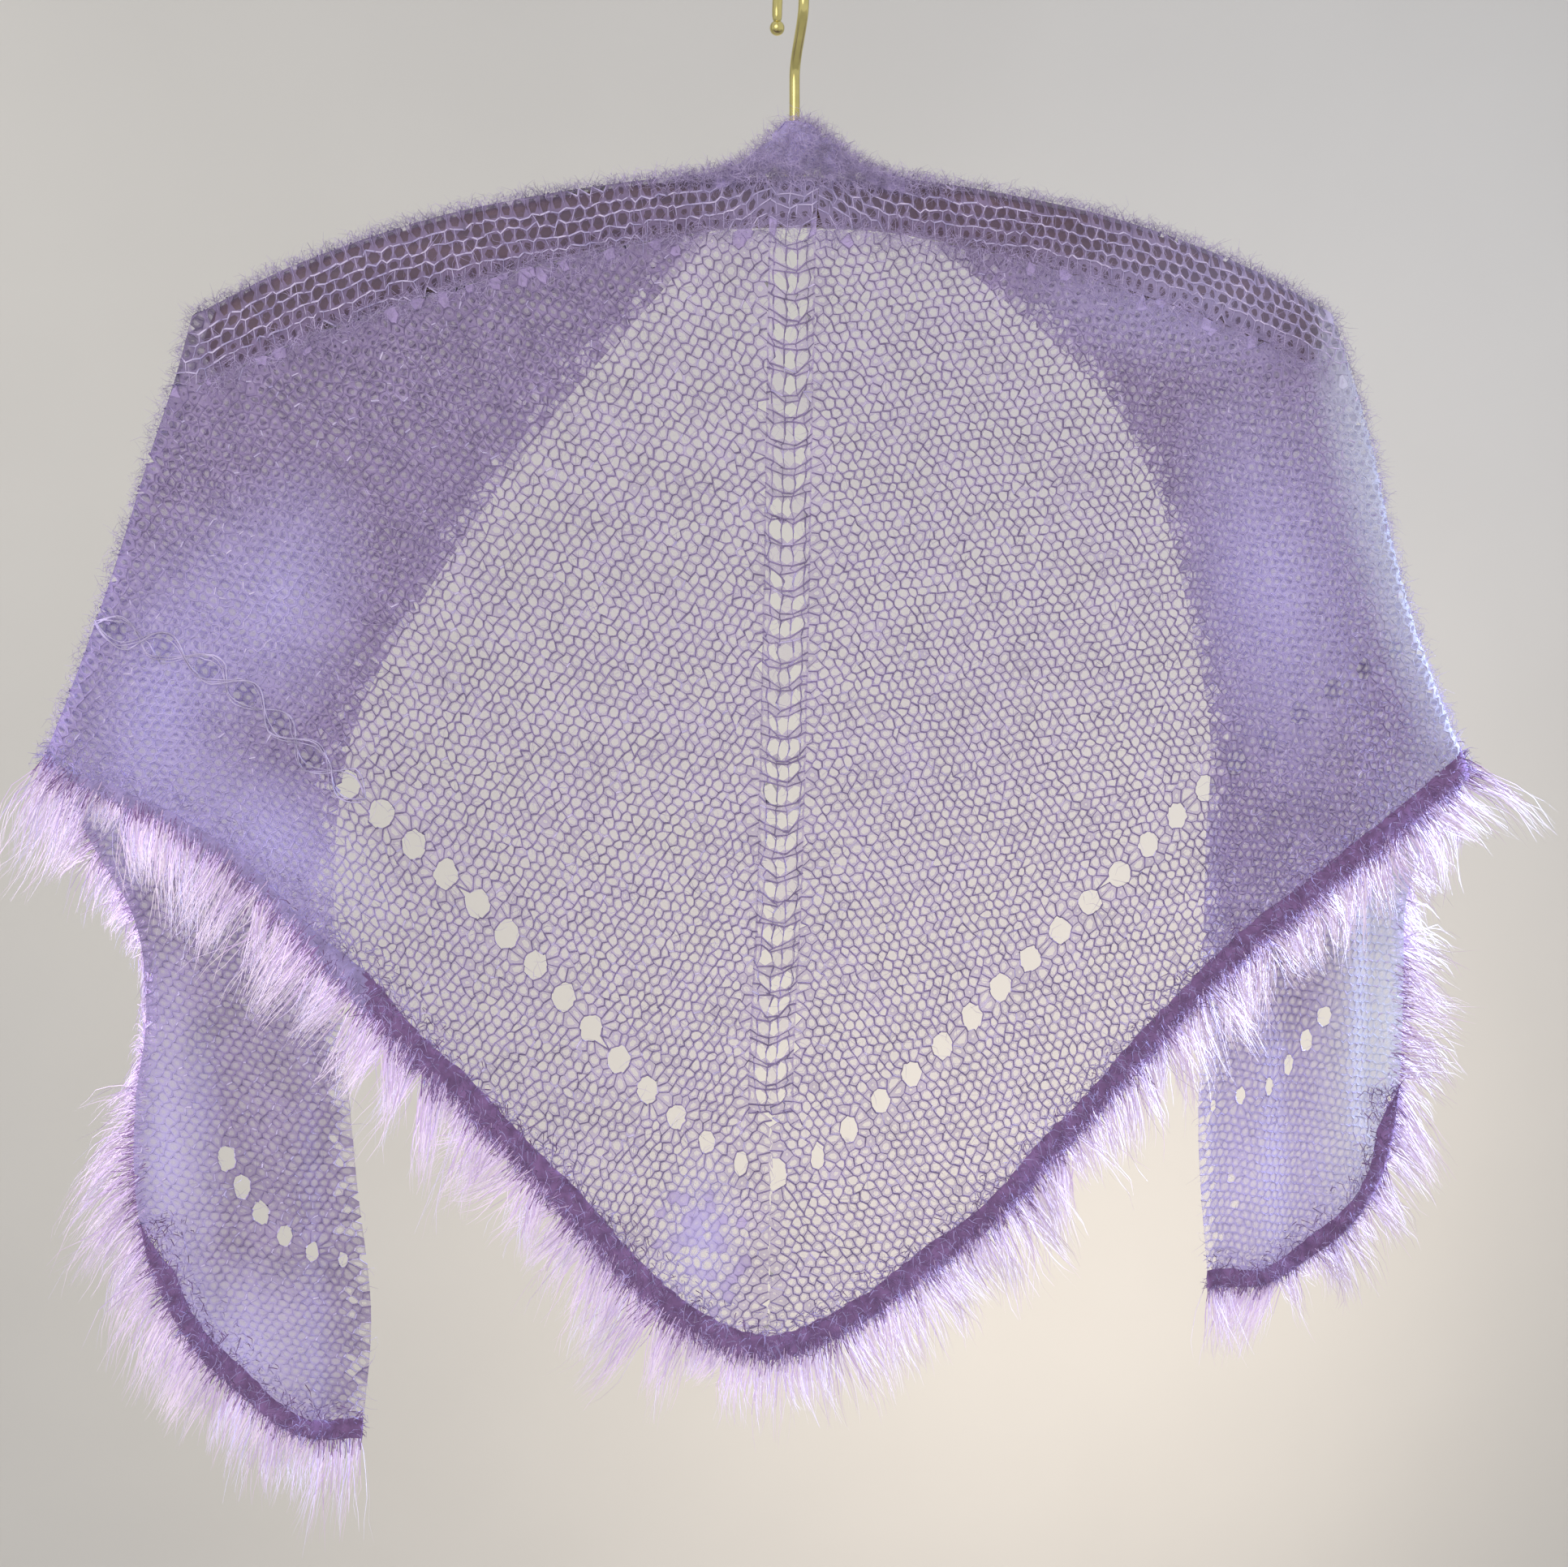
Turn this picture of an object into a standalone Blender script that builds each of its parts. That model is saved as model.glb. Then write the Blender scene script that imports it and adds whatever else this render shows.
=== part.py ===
"""A knitted triangular shawl with a furry lower edge, hung over a wooden coat hanger with a wire hook.

The cloth hangs on the hanger by the middle of its long edge, with its point down: the back panel falls
in front of the bar (towards -Y), goes over the bar and round two side folds, and ends in two front flaps
behind it (towards +Y). The frame is metres with +Z up and its origin at the hook's inner top. Every size
below is in millimetres, measured from the height of the hook's inner top and from the bar's middle plane.
"""
import math

import bpy
from mathutils import Vector
from mathutils.geometry import delaunay_2d_cdt

MM = 0.001

# General sizes
CLOTH_WALL = 1.5
TRIM_WALL = 2.2
SEAM_GAP = 0.3
WRAP_RADIUS = 8.0

NET_COLOUR = (0.30, 0.24, 0.42)
FUR_COLOUR = (0.78, 0.68, 0.88)
WOOD_COLOUR = (0.13, 0.07, 0.045)
WIRE_COLOUR = (0.72, 0.52, 0.14)

# Hanger bar: half of its arch, measured outwards from the stem, and the lean of the whole bar
BAR_TOP = -80.4
BAR_END = 212.0
BAR_THICKNESS = 12.0
BAR_RISE_TO_RIGHT = 0.0145
BAR_SIDES = 12
BAR_STATIONS = 18
BAR_END_ROUNDING = ((0.4, 0.35), (2.0, 0.75), (6.0, 1.0))  # distance from the end, share of the section
ARCH = (
    # out, drop, height
    (0.0, 0.0, 18.3),
    (35.0, 1.3, 18.5),
    (80.0, 6.8, 21.0),
    (130.0, 16.8, 24.0),
    (178.0, 32.8, 24.0),
    (214.0, 50.3, 22.0),
)

# Hook: a bent wire that stands across the bar, with a ball on its free end and a foot on the bar
WIRE_RADIUS = 1.9
WIRE_SIDES = 8
BOW_RADIUS = 21.0
BOW_ACROSS = 7.0
BOW_TIP_ANGLE = -4.0
BOW_NECK_ANGLE = 186.0
BOW_STEP = 10.0
HOOK_SEAT = Vector((0.0, BOW_ACROSS, 0.0))
STEM_TOP = -46.0
BALL_RADIUS = 2.8
FOOT_RADIUS = 4.0
FOOT_HEIGHT = 2.4

# The cloth over the bar, and the tent that the hook's stem lifts
CLOTH_LIFT = 1.6
TENT_HEIGHT = 17.5
TENT_LEFT = 16.0
TENT_RIGHT = 21.0
STEM_ROOM = 3.4
STEM_ROOM_WIDTH = 7.0
STEM_ROOM_FADE = 12.0

# Side folds below the bar's ends, down to the hem, seen from the front
FOLD_START = 215.6
FOLD_LEFT = (
    # x, z
    (-222.5, -155.0),
    (-231.0, -178.0),
    (-246.0, -221.0),
    (-260.0, -257.0),
    (-273.0, -288.0),
)
FOLD_RIGHT = (
    # x, z
    (225.5, -150.0),
    (236.0, -180.0),
    (245.0, -213.0),
    (256.0, -246.0),
    (271.0, -281.0),
    (285.0, -310.0),
)

# Outer line of the hem band, where the fur starts; turn is how far band and fur are turned to the back
HEM_BACK = (
    # x, z, turn
    (-273.0, -288.0, 0.0),
    (-252.0, -301.0, 0.0),
    (-231.0, -311.0, 0.0),
    (-206.0, -331.0, 0.0),
    (-178.0, -366.0, 0.0),
    (-156.0, -394.0, 0.0),
    (-106.0, -451.0, 0.0),
    (-63.0, -503.0, 0.0),
    (-40.0, -522.0, 0.0),
    (-12.0, -531.0, 0.0),
    (14.0, -526.0, 0.0),
    (58.0, -500.0, 0.0),
    (88.0, -476.0, 0.0),
    (145.0, -420.0, 0.0),
    (173.0, -392.0, 0.0),
    (207.0, -366.0, 0.0),
    (242.0, -341.0, 0.0),
    (285.0, -310.0, 0.0),
)
HEM_LEFT = (
    # x, z, turn
    (-273.0, -288.0, 0.0),
    (-258.0, -322.0, 0.3),
    (-245.0, -352.0, 0.9),
    (-243.0, -388.0, 1.0),
    (-248.0, -419.0, 0.5),
    (-250.0, -451.0, 0.0),
    (-247.0, -480.0, 0.0),
    (-238.0, -507.0, 0.0),
    (-224.0, -531.0, 0.0),
    (-203.0, -553.0, 0.0),
    (-184.0, -563.0, 0.0),
    (-169.0, -564.0, 0.0),
)
HEM_RIGHT = (
    # x, z, turn
    (285.0, -310.0, 0.0),
    (276.0, -340.0, 0.3),
    (270.0, -368.0, 0.5),
    (271.0, -400.0, 0.0),
    (272.0, -435.0, 0.0),
    (271.0, -467.0, 0.0),
    (262.0, -498.0, 0.0),
    (241.0, -522.0, 0.0),
    (215.0, -534.0, 0.0),
    (188.0, -535.0, 0.0),
)

# Inner edges of the front flaps, from the bar's top down to the points; z of the first row is on the bar
INNER_LEFT = (
    # x, z
    (-15.0, 0.0),
    (-33.0, -104.0),
    (-83.0, -160.0),
    (-113.0, -199.0),
    (-144.0, -243.0),
    (-165.0, -284.0),
    (-173.0, -337.0),
    (-171.0, -399.0),
    (-168.0, -457.0),
    (-164.0, -512.0),
    (-169.0, -564.0),
)
INNER_RIGHT = (
    # x, z
    (16.0, 0.0),
    (51.0, -99.0),
    (84.0, -123.0),
    (124.0, -156.0),
    (149.0, -195.0),
    (164.0, -240.0),
    (177.0, -292.0),
    (178.0, -343.0),
    (179.0, -394.0),
    (180.0, -467.0),
    (188.0, -535.0),
)
HEM_WIDTH = 12.0
HEM_END = 24.0  # stretch in which the band's cross lines turn to the fold or the inner edge at its end
LEAST_SQUARE = 0.62
TWIST_ROOM = 0.6  # more room at the hem band's ends, where the cloth turns over the side folds

# Soft folds in the cloth: two ends seen from the front, half width and height away from the bar
FOLDS_BACK = (
    # x1, z1, x2, z2, half_width, height
    (-196.0, -165.0, -214.0, -300.0, 17.0, 3.2),
    (-120.0, -135.0, -150.0, -330.0, 26.0, 2.0),
    (-28.0, -110.0, -52.0, -380.0, 22.0, 1.8),
    (24.0, -110.0, 34.0, -400.0, 24.0, 2.2),
    (118.0, -140.0, 132.0, -350.0, 24.0, 2.4),
    (196.0, -160.0, 232.0, -320.0, 18.0, 3.4),
    (-62.0, -420.0, -84.0, -470.0, 16.0, 2.6),
    (66.0, -410.0, 84.0, -470.0, 16.0, 2.6),
    (-8.0, -430.0, -14.0, -520.0, 14.0, 3.0),
)
FOLDS_LEFT = (
    # x1, z1, x2, z2, half_width, height
    (-188.0, -150.0, -204.0, -420.0, 17.0, 4.0),
    (-212.0, -400.0, -214.0, -540.0, 13.0, 5.0),
    (-178.0, -330.0, -176.0, -560.0, 9.0, 4.0),
    (-238.0, -330.0, -242.0, -470.0, 9.0, 4.5),
)
FOLDS_RIGHT = (
    # x1, z1, x2, z2, half_width, height
    (186.0, -150.0, 208.0, -400.0, 17.0, 4.0),
    (222.0, -390.0, 232.0, -520.0, 13.0, 5.0),
    (188.0, -330.0, 196.0, -530.0, 9.0, 4.0),
    (258.0, -340.0, 262.0, -460.0, 9.0, 4.5),
)

# How far the layers stand away from the bar's plane as they hang
LEAN_BACK = (
    # z, away
    (-160.0, 0.0),
    (-300.0, 1.5),
    (-530.0, 4.0),
)
LEAN_FRONT = (
    # z, away
    (-150.0, 0.0),
    (-250.0, 4.0),
    (-400.0, 10.0),
    (-560.0, 14.0),
)
LEAN_START = 55.0

# Large eyelets, in a row that runs along the hem; wide is the half width of one, tall its half height
EYELET_PITCH = 16.0
EYELET_SIDES = 6
EYELETS_BACK = (
    # x, z, wide, tall
    (-245.0, -242.0, 3.6, 4.2),
    (-225.0, -249.0, 4.6, 4.8),
    (-203.0, -264.0, 5.0, 5.2),
    (-176.0, -292.0, 5.0, 5.2),
    (-160.0, -306.0, 5.2, 5.4),
    (-112.0, -356.0, 5.2, 5.4),
    (-60.0, -419.0, 4.8, 5.2),
    (-27.0, -449.0, 3.2, 5.0),
    (-4.0, -455.0, 2.4, 6.2),
    (20.0, -440.0, 4.0, 5.4),
    (86.0, -383.0, 5.2, 5.4),
    (160.0, -316.0, 5.2, 5.4),
    (187.0, -296.0, 5.0, 5.2),
    (217.0, -274.0, 4.8, 5.0),
    (246.0, -259.0, 3.6, 4.2),
)
EYELETS_LEFT = (
    # x, z, wide, tall
    (-238.0, -266.0, 3.6, 4.2),
    (-220.0, -296.0, 4.6, 4.8),
    (-210.0, -345.0, 4.8, 5.0),
    (-214.0, -395.0, 4.8, 5.0),
    (-221.0, -431.0, 4.6, 5.0),
    (-216.0, -449.0, 4.6, 5.0),
    (-200.0, -473.0, 4.4, 4.8),
    (-180.0, -487.0, 4.0, 4.6),
)
EYELETS_RIGHT = (
    # x, z, wide, tall
    (252.0, -286.0, 3.6, 4.2),
    (243.0, -320.0, 4.6, 4.8),
    (241.0, -370.0, 4.8, 5.0),
    (240.0, -405.0, 4.8, 5.0),
    (234.0, -427.0, 4.6, 5.0),
    (216.0, -446.0, 4.4, 4.8),
    (193.0, -455.0, 4.0, 4.6),
)

# Lace down the spine: small V groups of three gaps
SPINE = (
    # z, x
    (-78.0, 0.0),
    (-105.0, -3.0),
    (-223.0, -5.0),
    (-346.0, -8.0),
    (-419.0, -12.0),
    (-531.0, -14.0),
)
LACE_TOP = -107.0
LACE_PITCH = 9.0
LACE_GROUPS = 36
LACE_ACROSS = 5.2
LACE_RISE = 3.6
LACE_HALF_WIDE = 2.15
LACE_HALF_TALL = 2.4

# Fur: tapered locks rooted in the hem band
LOCK_PITCH = 6.1
LOCK_LENGTH = 32.0
LOCK_LENGTH_SPREAD = 4.5
LOCK_TIP = 0.9
LOCK_MIDDLE = 0.45
LOCK_LEAN = 0.28
LOCK_DROOP = 0.30
LOCK_TURN = 95.0
CORNER_REACH = 24.0
CORNER_SWEEP_LEFT = 0.45
CORNER_SWEEP_RIGHT = 1.1
CORNER_LENGTH = 0.3
TURNED_SHARE = 0.35

# Spacing of the points that carry the cloth's faces
EDGE_STEP = 14.0
RIDGE_STEP = 8.0
INSIDE_STEP = 30.0
INSIDE_CLEARANCE = 11.0
CORNER_CLEARANCE = 5.0
INNER_CLEARANCE = 3.0
RIM_CLEARANCE = 0.35
WRAP_ANGLES = (24.0, 48.0, 74.0)


def smooth_step(value):
    """0 below 0, 1 above 1 and an even S between them."""
    share = max(0.0, min(1.0, value))
    return share * share * (3.0 - 2.0 * share)


def read_table(rows, place, column=1):
    """The value of a column at a place in the first column, on straight lines between rows."""
    first, last = rows[0], rows[-1]
    low, high = (first, last) if first[0] < last[0] else (last, first)
    if place <= low[0]:
        return low[column]
    if place >= high[0]:
        return high[column]
    for start, end in zip(rows, rows[1:]):
        if min(start[0], end[0]) <= place <= max(start[0], end[0]):
            share = (place - start[0]) / (end[0] - start[0])
            return start[column] + share * (end[column] - start[column])
    return high[column]


def smooth_curve(rows, step):
    """Points about a step apart on a smooth curve through the rows, with every column carried along."""
    points = [Vector(row) for row in rows]
    ends = [2 * points[0] - points[1]] + points + [2 * points[-1] - points[-2]]
    fine = []
    for p0, p1, p2, p3 in zip(ends, ends[1:], ends[2:], ends[3:]):
        for part in range(12):
            t = part / 12
            fine.append(0.5 * (2 * p1 + (p2 - p0) * t + (2 * p0 - 5 * p1 + 4 * p2 - p3) * t ** 2
                               + (3 * p1 - p0 - 3 * p2 + p3) * t ** 3))
    fine.append(points[-1])
    lengths = [0.0]
    for a, b in zip(fine, fine[1:]):
        lengths.append(lengths[-1] + (Vector(b[:2]) - Vector(a[:2])).length)
    count = max(2, round(lengths[-1] / step))
    curve, at = [], 0
    for number in range(count + 1):
        wanted = lengths[-1] * number / count
        while at < len(fine) - 2 and lengths[at + 1] < wanted:
            at += 1
        share = (wanted - lengths[at]) / max(lengths[at + 1] - lengths[at], 1e-9)
        curve.append(fine[at].lerp(fine[at + 1], share))
    return curve


def bar_top(x):
    """Height of the bar's upper edge."""
    return BAR_TOP - arch(x, 1) + BAR_RISE_TO_RIGHT * x


ARCH_CURVE = smooth_curve(ARCH, 4.0)


def arch(x, column):
    """The bar's drop or height at a distance from its middle."""
    return read_table(ARCH_CURVE, abs(x), column)


def ridge(x):
    """Height of the cloth's middle layer over the bar, with the tent at the stem."""
    width = TENT_LEFT if x < 0 else TENT_RIGHT
    return bar_top(x) + CLOTH_LIFT + TENT_HEIGHT * math.exp(-(x / width) ** 2)


def side_fold(rows, side):
    """A side fold from the bar's end down to the hem."""
    corner = (side * FOLD_START, ridge(side * FOLD_START))
    return [Vector(p) for p in smooth_curve((corner,) + rows, EDGE_STEP)]


def hang_line():
    """The line that the cloth turns over: left fold from the hem up, the bar, right fold down to the hem."""
    left, right = side_fold(FOLD_LEFT, -1), side_fold(FOLD_RIGHT, 1)
    count = round(2 * FOLD_START / RIDGE_STEP)
    top = [-FOLD_START + 2 * FOLD_START * number / count for number in range(1, count)]
    return left[::-1] + [Vector((x, ridge(x))) for x in top] + right


HANG_LINE = hang_line()
TOP_LEFT = len(side_fold(FOLD_LEFT, -1)) - 1
TOP_RIGHT = len(HANG_LINE) - len(side_fold(FOLD_RIGHT, 1))


def nearest_on_line(point, line):
    """The nearest point of an open line."""
    best, best_distance = line[0], 1e9
    for a, b in zip(line, line[1:]):
        along = b - a
        share = max(0.0, min(1.0, (point - a).dot(along) / max(along.length_squared, 1e-12)))
        foot = a + share * along
        distance = (point - foot).length_squared
        if distance < best_distance:
            best, best_distance = foot, distance
    return best


class Layer:
    """One hanging layer of cloth: its distance from the bar's plane at a point seen from the front."""

    def __init__(self, side, folds, lean, stem_room):
        self.side = side
        self.folds = folds
        self.lean = lean
        self.stem_room = stem_room

    def away(self, point, distance):
        """What lean, folds and the stem add beyond the turn over the bar."""
        start = smooth_step((distance - 2.0) / LEAN_START)
        away = read_table(self.lean, point.y) * start
        for x1, z1, x2, z2, half_width, height in self.folds:
            foot = nearest_on_line(point, (Vector((x1, z1)), Vector((x2, z2))))
            away += height * start * math.exp(-(point - foot).length_squared / half_width ** 2)
        room = math.exp(-(point.x / STEM_ROOM_WIDTH) ** 2 - distance / STEM_ROOM_FADE)
        return away + self.stem_room * room

    def place(self, point):
        """The cloth's middle there, and the direction out of the layer."""
        foot = nearest_on_line(point, HANG_LINE)
        distance = (point - foot).length
        inward = (point - foot) / distance if distance > 1e-4 else self.edge_inward(point)
        turn = math.acos(max(0.0, 1.0 - distance / WRAP_RADIUS))
        away = self.away(point, distance)
        step_x, step_z = Vector((0.5, 0.0)), Vector((0.0, 0.5))
        slope_x = self.away_at(point + step_x) - self.away_at(point - step_x)
        slope_z = self.away_at(point + step_z) - self.away_at(point - step_z)
        y = self.side * (SEAM_GAP / 2 + WRAP_RADIUS * math.sin(turn) + away)
        normal = Vector((
            -math.cos(turn) * inward.x - math.sin(turn) * slope_x,
            self.side * math.sin(turn),
            -math.cos(turn) * inward.y - math.sin(turn) * slope_z,
        )).normalized()
        return Vector((point.x, y, point.y)), normal

    def away_at(self, point):
        """The same, with the distance from the hang line worked out here."""
        return self.away(point, (point - nearest_on_line(point, HANG_LINE)).length)

    def edge_inward(self, point):
        """Direction into the cloth at a point of the hang line itself."""
        at = min(range(len(HANG_LINE)), key=lambda i: (HANG_LINE[i] - point).length_squared)
        before, after = HANG_LINE[max(at - 1, 0)], HANG_LINE[min(at + 1, len(HANG_LINE) - 1)]
        along = (after - before).normalized()
        return Vector((along.y, -along.x))


BACK = Layer(-1, FOLDS_BACK, LEAN_BACK, STEM_ROOM)
FRONT_LEFT = Layer(1, FOLDS_LEFT, LEAN_FRONT, 0.0)
FRONT_RIGHT = Layer(1, FOLDS_RIGHT, LEAN_FRONT, 0.0)


def across(curve, inside):
    """Unit directions from the points of a hem line to the side where the knit is."""
    directions = []
    for number in range(len(curve)):
        before, after = curve[max(number - 1, 0)], curve[min(number + 1, len(curve) - 1)]
        along = Vector((after[0] - before[0], after[1] - before[1])).normalized()
        directions.append(Vector((-along.y, along.x)))
    middle = len(curve) // 2
    if directions[middle].dot(inside - Vector(curve[middle][:2])) < 0:
        return [-direction for direction in directions]
    return directions


def hem_lines(rows, step, inside, start_direction, end_direction):
    """The hem band's outer line, its inner line, the knit's edge, and each point's turn to the back."""
    curve = smooth_curve(rows, step)
    normals = across(curve, inside)
    outer, inner, knit = [], [], []
    for number, (point, normal) in enumerate(zip(curve, normals)):
        from_start = smooth_step(number * step / HEM_END)
        from_end = smooth_step((len(curve) - 1 - number) * step / HEM_END)
        direction = normal * min(from_start, from_end)
        direction += start_direction * (1.0 - from_start) + end_direction * (1.0 - from_end)
        direction.normalize()
        stretch = 1.0 / max(LEAST_SQUARE, direction.dot(normal))
        place = Vector(point[:2])
        outer.append(place)
        inner.append(place + direction * HEM_WIDTH * stretch)
        seam = SEAM_GAP + TWIST_ROOM * (1.0 - from_start * from_end)
        knit.append(place + direction * (HEM_WIDTH + seam) * stretch)
    return outer, inner, knit, [point[2] for point in curve]


def line_direction(rows, from_end):
    """Unit direction into a line of rows from one of its ends."""
    a, b = (rows[-1], rows[-2]) if from_end else (rows[0], rows[1])
    return Vector((b[0] - a[0], b[1] - a[1])).normalized()


def is_inside(point, polygon):
    """Whether a point lies inside a closed outline."""
    inside = False
    for a, b in zip(polygon, polygon[1:] + polygon[:1]):
        if (a.y > point.y) != (b.y > point.y):
            if point.x < a.x + (point.y - a.y) * (b.x - a.x) / (b.y - a.y):
                inside = not inside
    return inside


def eyelet_row(rows):
    """Outlines of the eyelets, an even pitch apart on a curve through the rows."""
    outlines = []
    for x, z, wide, tall in smooth_curve(rows, EYELET_PITCH):
        outlines.append([
            Vector((x + wide * math.cos(math.tau * (side + 0.5) / EYELET_SIDES),
                    z + tall * math.sin(math.tau * (side + 0.5) / EYELET_SIDES)))
            for side in range(EYELET_SIDES)
        ])
    return outlines


def lace_groups():
    """Outlines of the small gaps down the spine, three to a group."""
    outlines = []
    for group in range(LACE_GROUPS):
        z = LACE_TOP - group * LACE_PITCH
        x = read_table(SPINE, z)
        for side in (-1, 0, 1):
            centre = Vector((x + side * LACE_ACROSS, z + abs(side) * LACE_RISE))
            outlines.append([
                centre + Vector((LACE_HALF_WIDE, 0)),
                centre + Vector((0, LACE_HALF_TALL)),
                centre - Vector((LACE_HALF_WIDE, 0)),
                centre - Vector((0, LACE_HALF_TALL)),
            ])
    return outlines


def wrap_lines():
    """Lines of points just inside the hang line, where the cloth turns over it."""
    lines = []
    for angle in WRAP_ANGLES:
        inset = WRAP_RADIUS * (1.0 - math.cos(math.radians(angle)))
        line = []
        for number, point in enumerate(HANG_LINE):
            before = HANG_LINE[max(number - 2, 0)]
            after = HANG_LINE[min(number + 2, len(HANG_LINE) - 1)]
            along = (after - before).normalized()
            inward = Vector((along.y, -along.x))
            if TOP_LEFT + 2 < number < TOP_RIGHT - 2:
                inward = Vector((0.0, -1.0))
            line.append(point + inset * inward)
        lines.append(line)
    return lines


def clearance(point, outlines):
    """Distance to the nearest corner of the outlines."""
    return min((point - corner).length for outline in outlines for corner in outline)


def cloth_points(outline, holes):
    """Points inside a panel on a plain grid, clear of its edges, gaps and turned rim."""
    low_x, high_x = min(p.x for p in outline), max(p.x for p in outline)
    low_z, high_z = min(p.y for p in outline), max(p.y for p in outline)
    closed = outline + outline[:1]
    points = []
    for row in range(int((high_z - low_z) / INSIDE_STEP) + 1):
        for column in range(int((high_x - low_x) / INSIDE_STEP) + 1):
            shift = 0.5 * (row % 2)
            point = Vector((low_x + (column + shift) * INSIDE_STEP, low_z + (row + 0.5) * INSIDE_STEP))
            if not is_inside(point, outline):
                continue
            if (point - nearest_on_line(point, closed)).length < INSIDE_CLEARANCE:
                continue
            if holes and clearance(point, holes) < INSIDE_CLEARANCE:
                continue
            if any(is_inside(point, hole) for hole in holes):
                continue
            points.append(point)
    return points


def make_panel(name, layer, outline, holes, lines, colour):
    """A wall of cloth between an outline and its gaps, turned over the hang line."""
    points, edges = [], []

    def add_loop(loop):
        start = len(points)
        points.extend(loop)
        edges.extend((start + i, start + (i + 1) % len(loop)) for i in range(len(loop)))

    add_loop(outline)
    for hole in holes:
        add_loop(hole)
    for line in lines:
        points.extend(p for p in line
                      if is_inside(p, outline) and min((p - q).length for q in outline) >= RIM_CLEARANCE)
    points.extend(cloth_points(outline, holes))
    verts, _, faces, *_ = delaunay_2d_cdt(points, edges, [], 0, 1e-5)
    kept_faces = []
    for face in faces:
        centre = sum((verts[i] for i in face), Vector((0, 0))) / 3
        if not is_inside(centre, outline) or any(is_inside(centre, hole) for hole in holes):
            continue
        a, b, c = (verts[i] for i in face)
        turned = (b - a).cross(c - a) < 0
        kept_faces.append(tuple(reversed(face)) if turned else tuple(face))
    used = sorted({i for face in kept_faces for i in face})
    outer_of = {i: n for n, i in enumerate(used)}
    count = len(used)
    outer, inner = [], []
    for i in used:
        place, normal = layer.place(verts[i])
        outer.append(place + normal * CLOTH_WALL / 2)
        inner.append(place - normal * CLOTH_WALL / 2)
    mesh_faces = []
    sides = {}
    for a, b, c in kept_faces:
        a, b, c = outer_of[a], outer_of[b], outer_of[c]
        if layer.side > 0:
            a, c = c, a
        mesh_faces.append((a, b, c))
        mesh_faces.append((c + count, b + count, a + count))
        for edge in ((a, b), (b, c), (c, a)):
            sides[edge] = edge[::-1]
    for start, end in sides:
        if (end, start) not in sides:
            mesh_faces.append((end, start, start + count))
            mesh_faces.append((end, start + count, end + count))
    return make_object(name, outer + inner, mesh_faces, colour, 0.9, 0.0)


def make_object(name, points, faces, colour, roughness, metallic):
    """A named object with its own material, moved so that the hook's inner top is the origin."""
    mesh = bpy.data.meshes.new(name)
    mesh.from_pydata([tuple((point - HOOK_SEAT) * MM) for point in points], [], faces)
    mesh.validate()
    mesh.shade_smooth()
    mesh.set_sharp_from_angle(angle=math.radians(50))
    obj = bpy.data.objects.new(name, mesh)
    bpy.context.scene.collection.objects.link(obj)
    material = bpy.data.materials.new(name + "_finish")
    material.use_nodes = True
    shader = material.node_tree.nodes["Principled BSDF"]
    shader.inputs["Base Color"].default_value = (*colour, 1.0)
    shader.inputs["Roughness"].default_value = roughness
    shader.inputs["Metallic"].default_value = metallic
    mesh.materials.append(material)
    return obj


def make_loft(name, rings, colour, roughness, metallic):
    """A closed solid through rings with the same number of points, capped at both ends."""
    sides = len(rings[0])
    points = [point for ring in rings for point in ring]
    faces = []
    for ring in range(len(rings) - 1):
        for side in range(sides):
            a = ring * sides + side
            b = ring * sides + (side + 1) % sides
            faces.append((a, b, b + sides, a + sides))
    faces.append(tuple(reversed(range(sides))))
    faces.append(tuple(range((len(rings) - 1) * sides, len(rings) * sides)))
    return make_object(name, points, faces, colour, roughness, metallic)


def bar_ring(x, share):
    """Section of the bar: upright sides between a round top and a round bottom."""
    half_thick = BAR_THICKNESS / 2 * share
    half_tall = arch(x, 2) / 2 * share
    middle = bar_top(x) - arch(x, 2) / 2
    ring = []
    for side in range(BAR_SIDES):
        angle = math.tau * (side + 0.5) / BAR_SIDES
        upright = half_tall - half_thick if math.sin(angle) > 0 else half_thick - half_tall
        ring.append(Vector((x, half_thick * math.cos(angle), middle + upright + half_thick * math.sin(angle))))
    return ring


def make_bar():
    """The flat wooden bar with its rounded ends."""
    rounding = [(-BAR_END + distance, share) for distance, share in BAR_END_ROUNDING]
    span = 2 * (BAR_END - BAR_END_ROUNDING[-1][0])
    middle = [(-span / 2 + span * number / BAR_STATIONS, 1.0) for number in range(1, BAR_STATIONS)]
    other = [(-x, share) for x, share in reversed(rounding)]
    rings = [bar_ring(x, share) for x, share in rounding + middle + other]
    return make_loft("hanger_bar", rings, WOOD_COLOUR, 0.45, 0.0)


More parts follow.
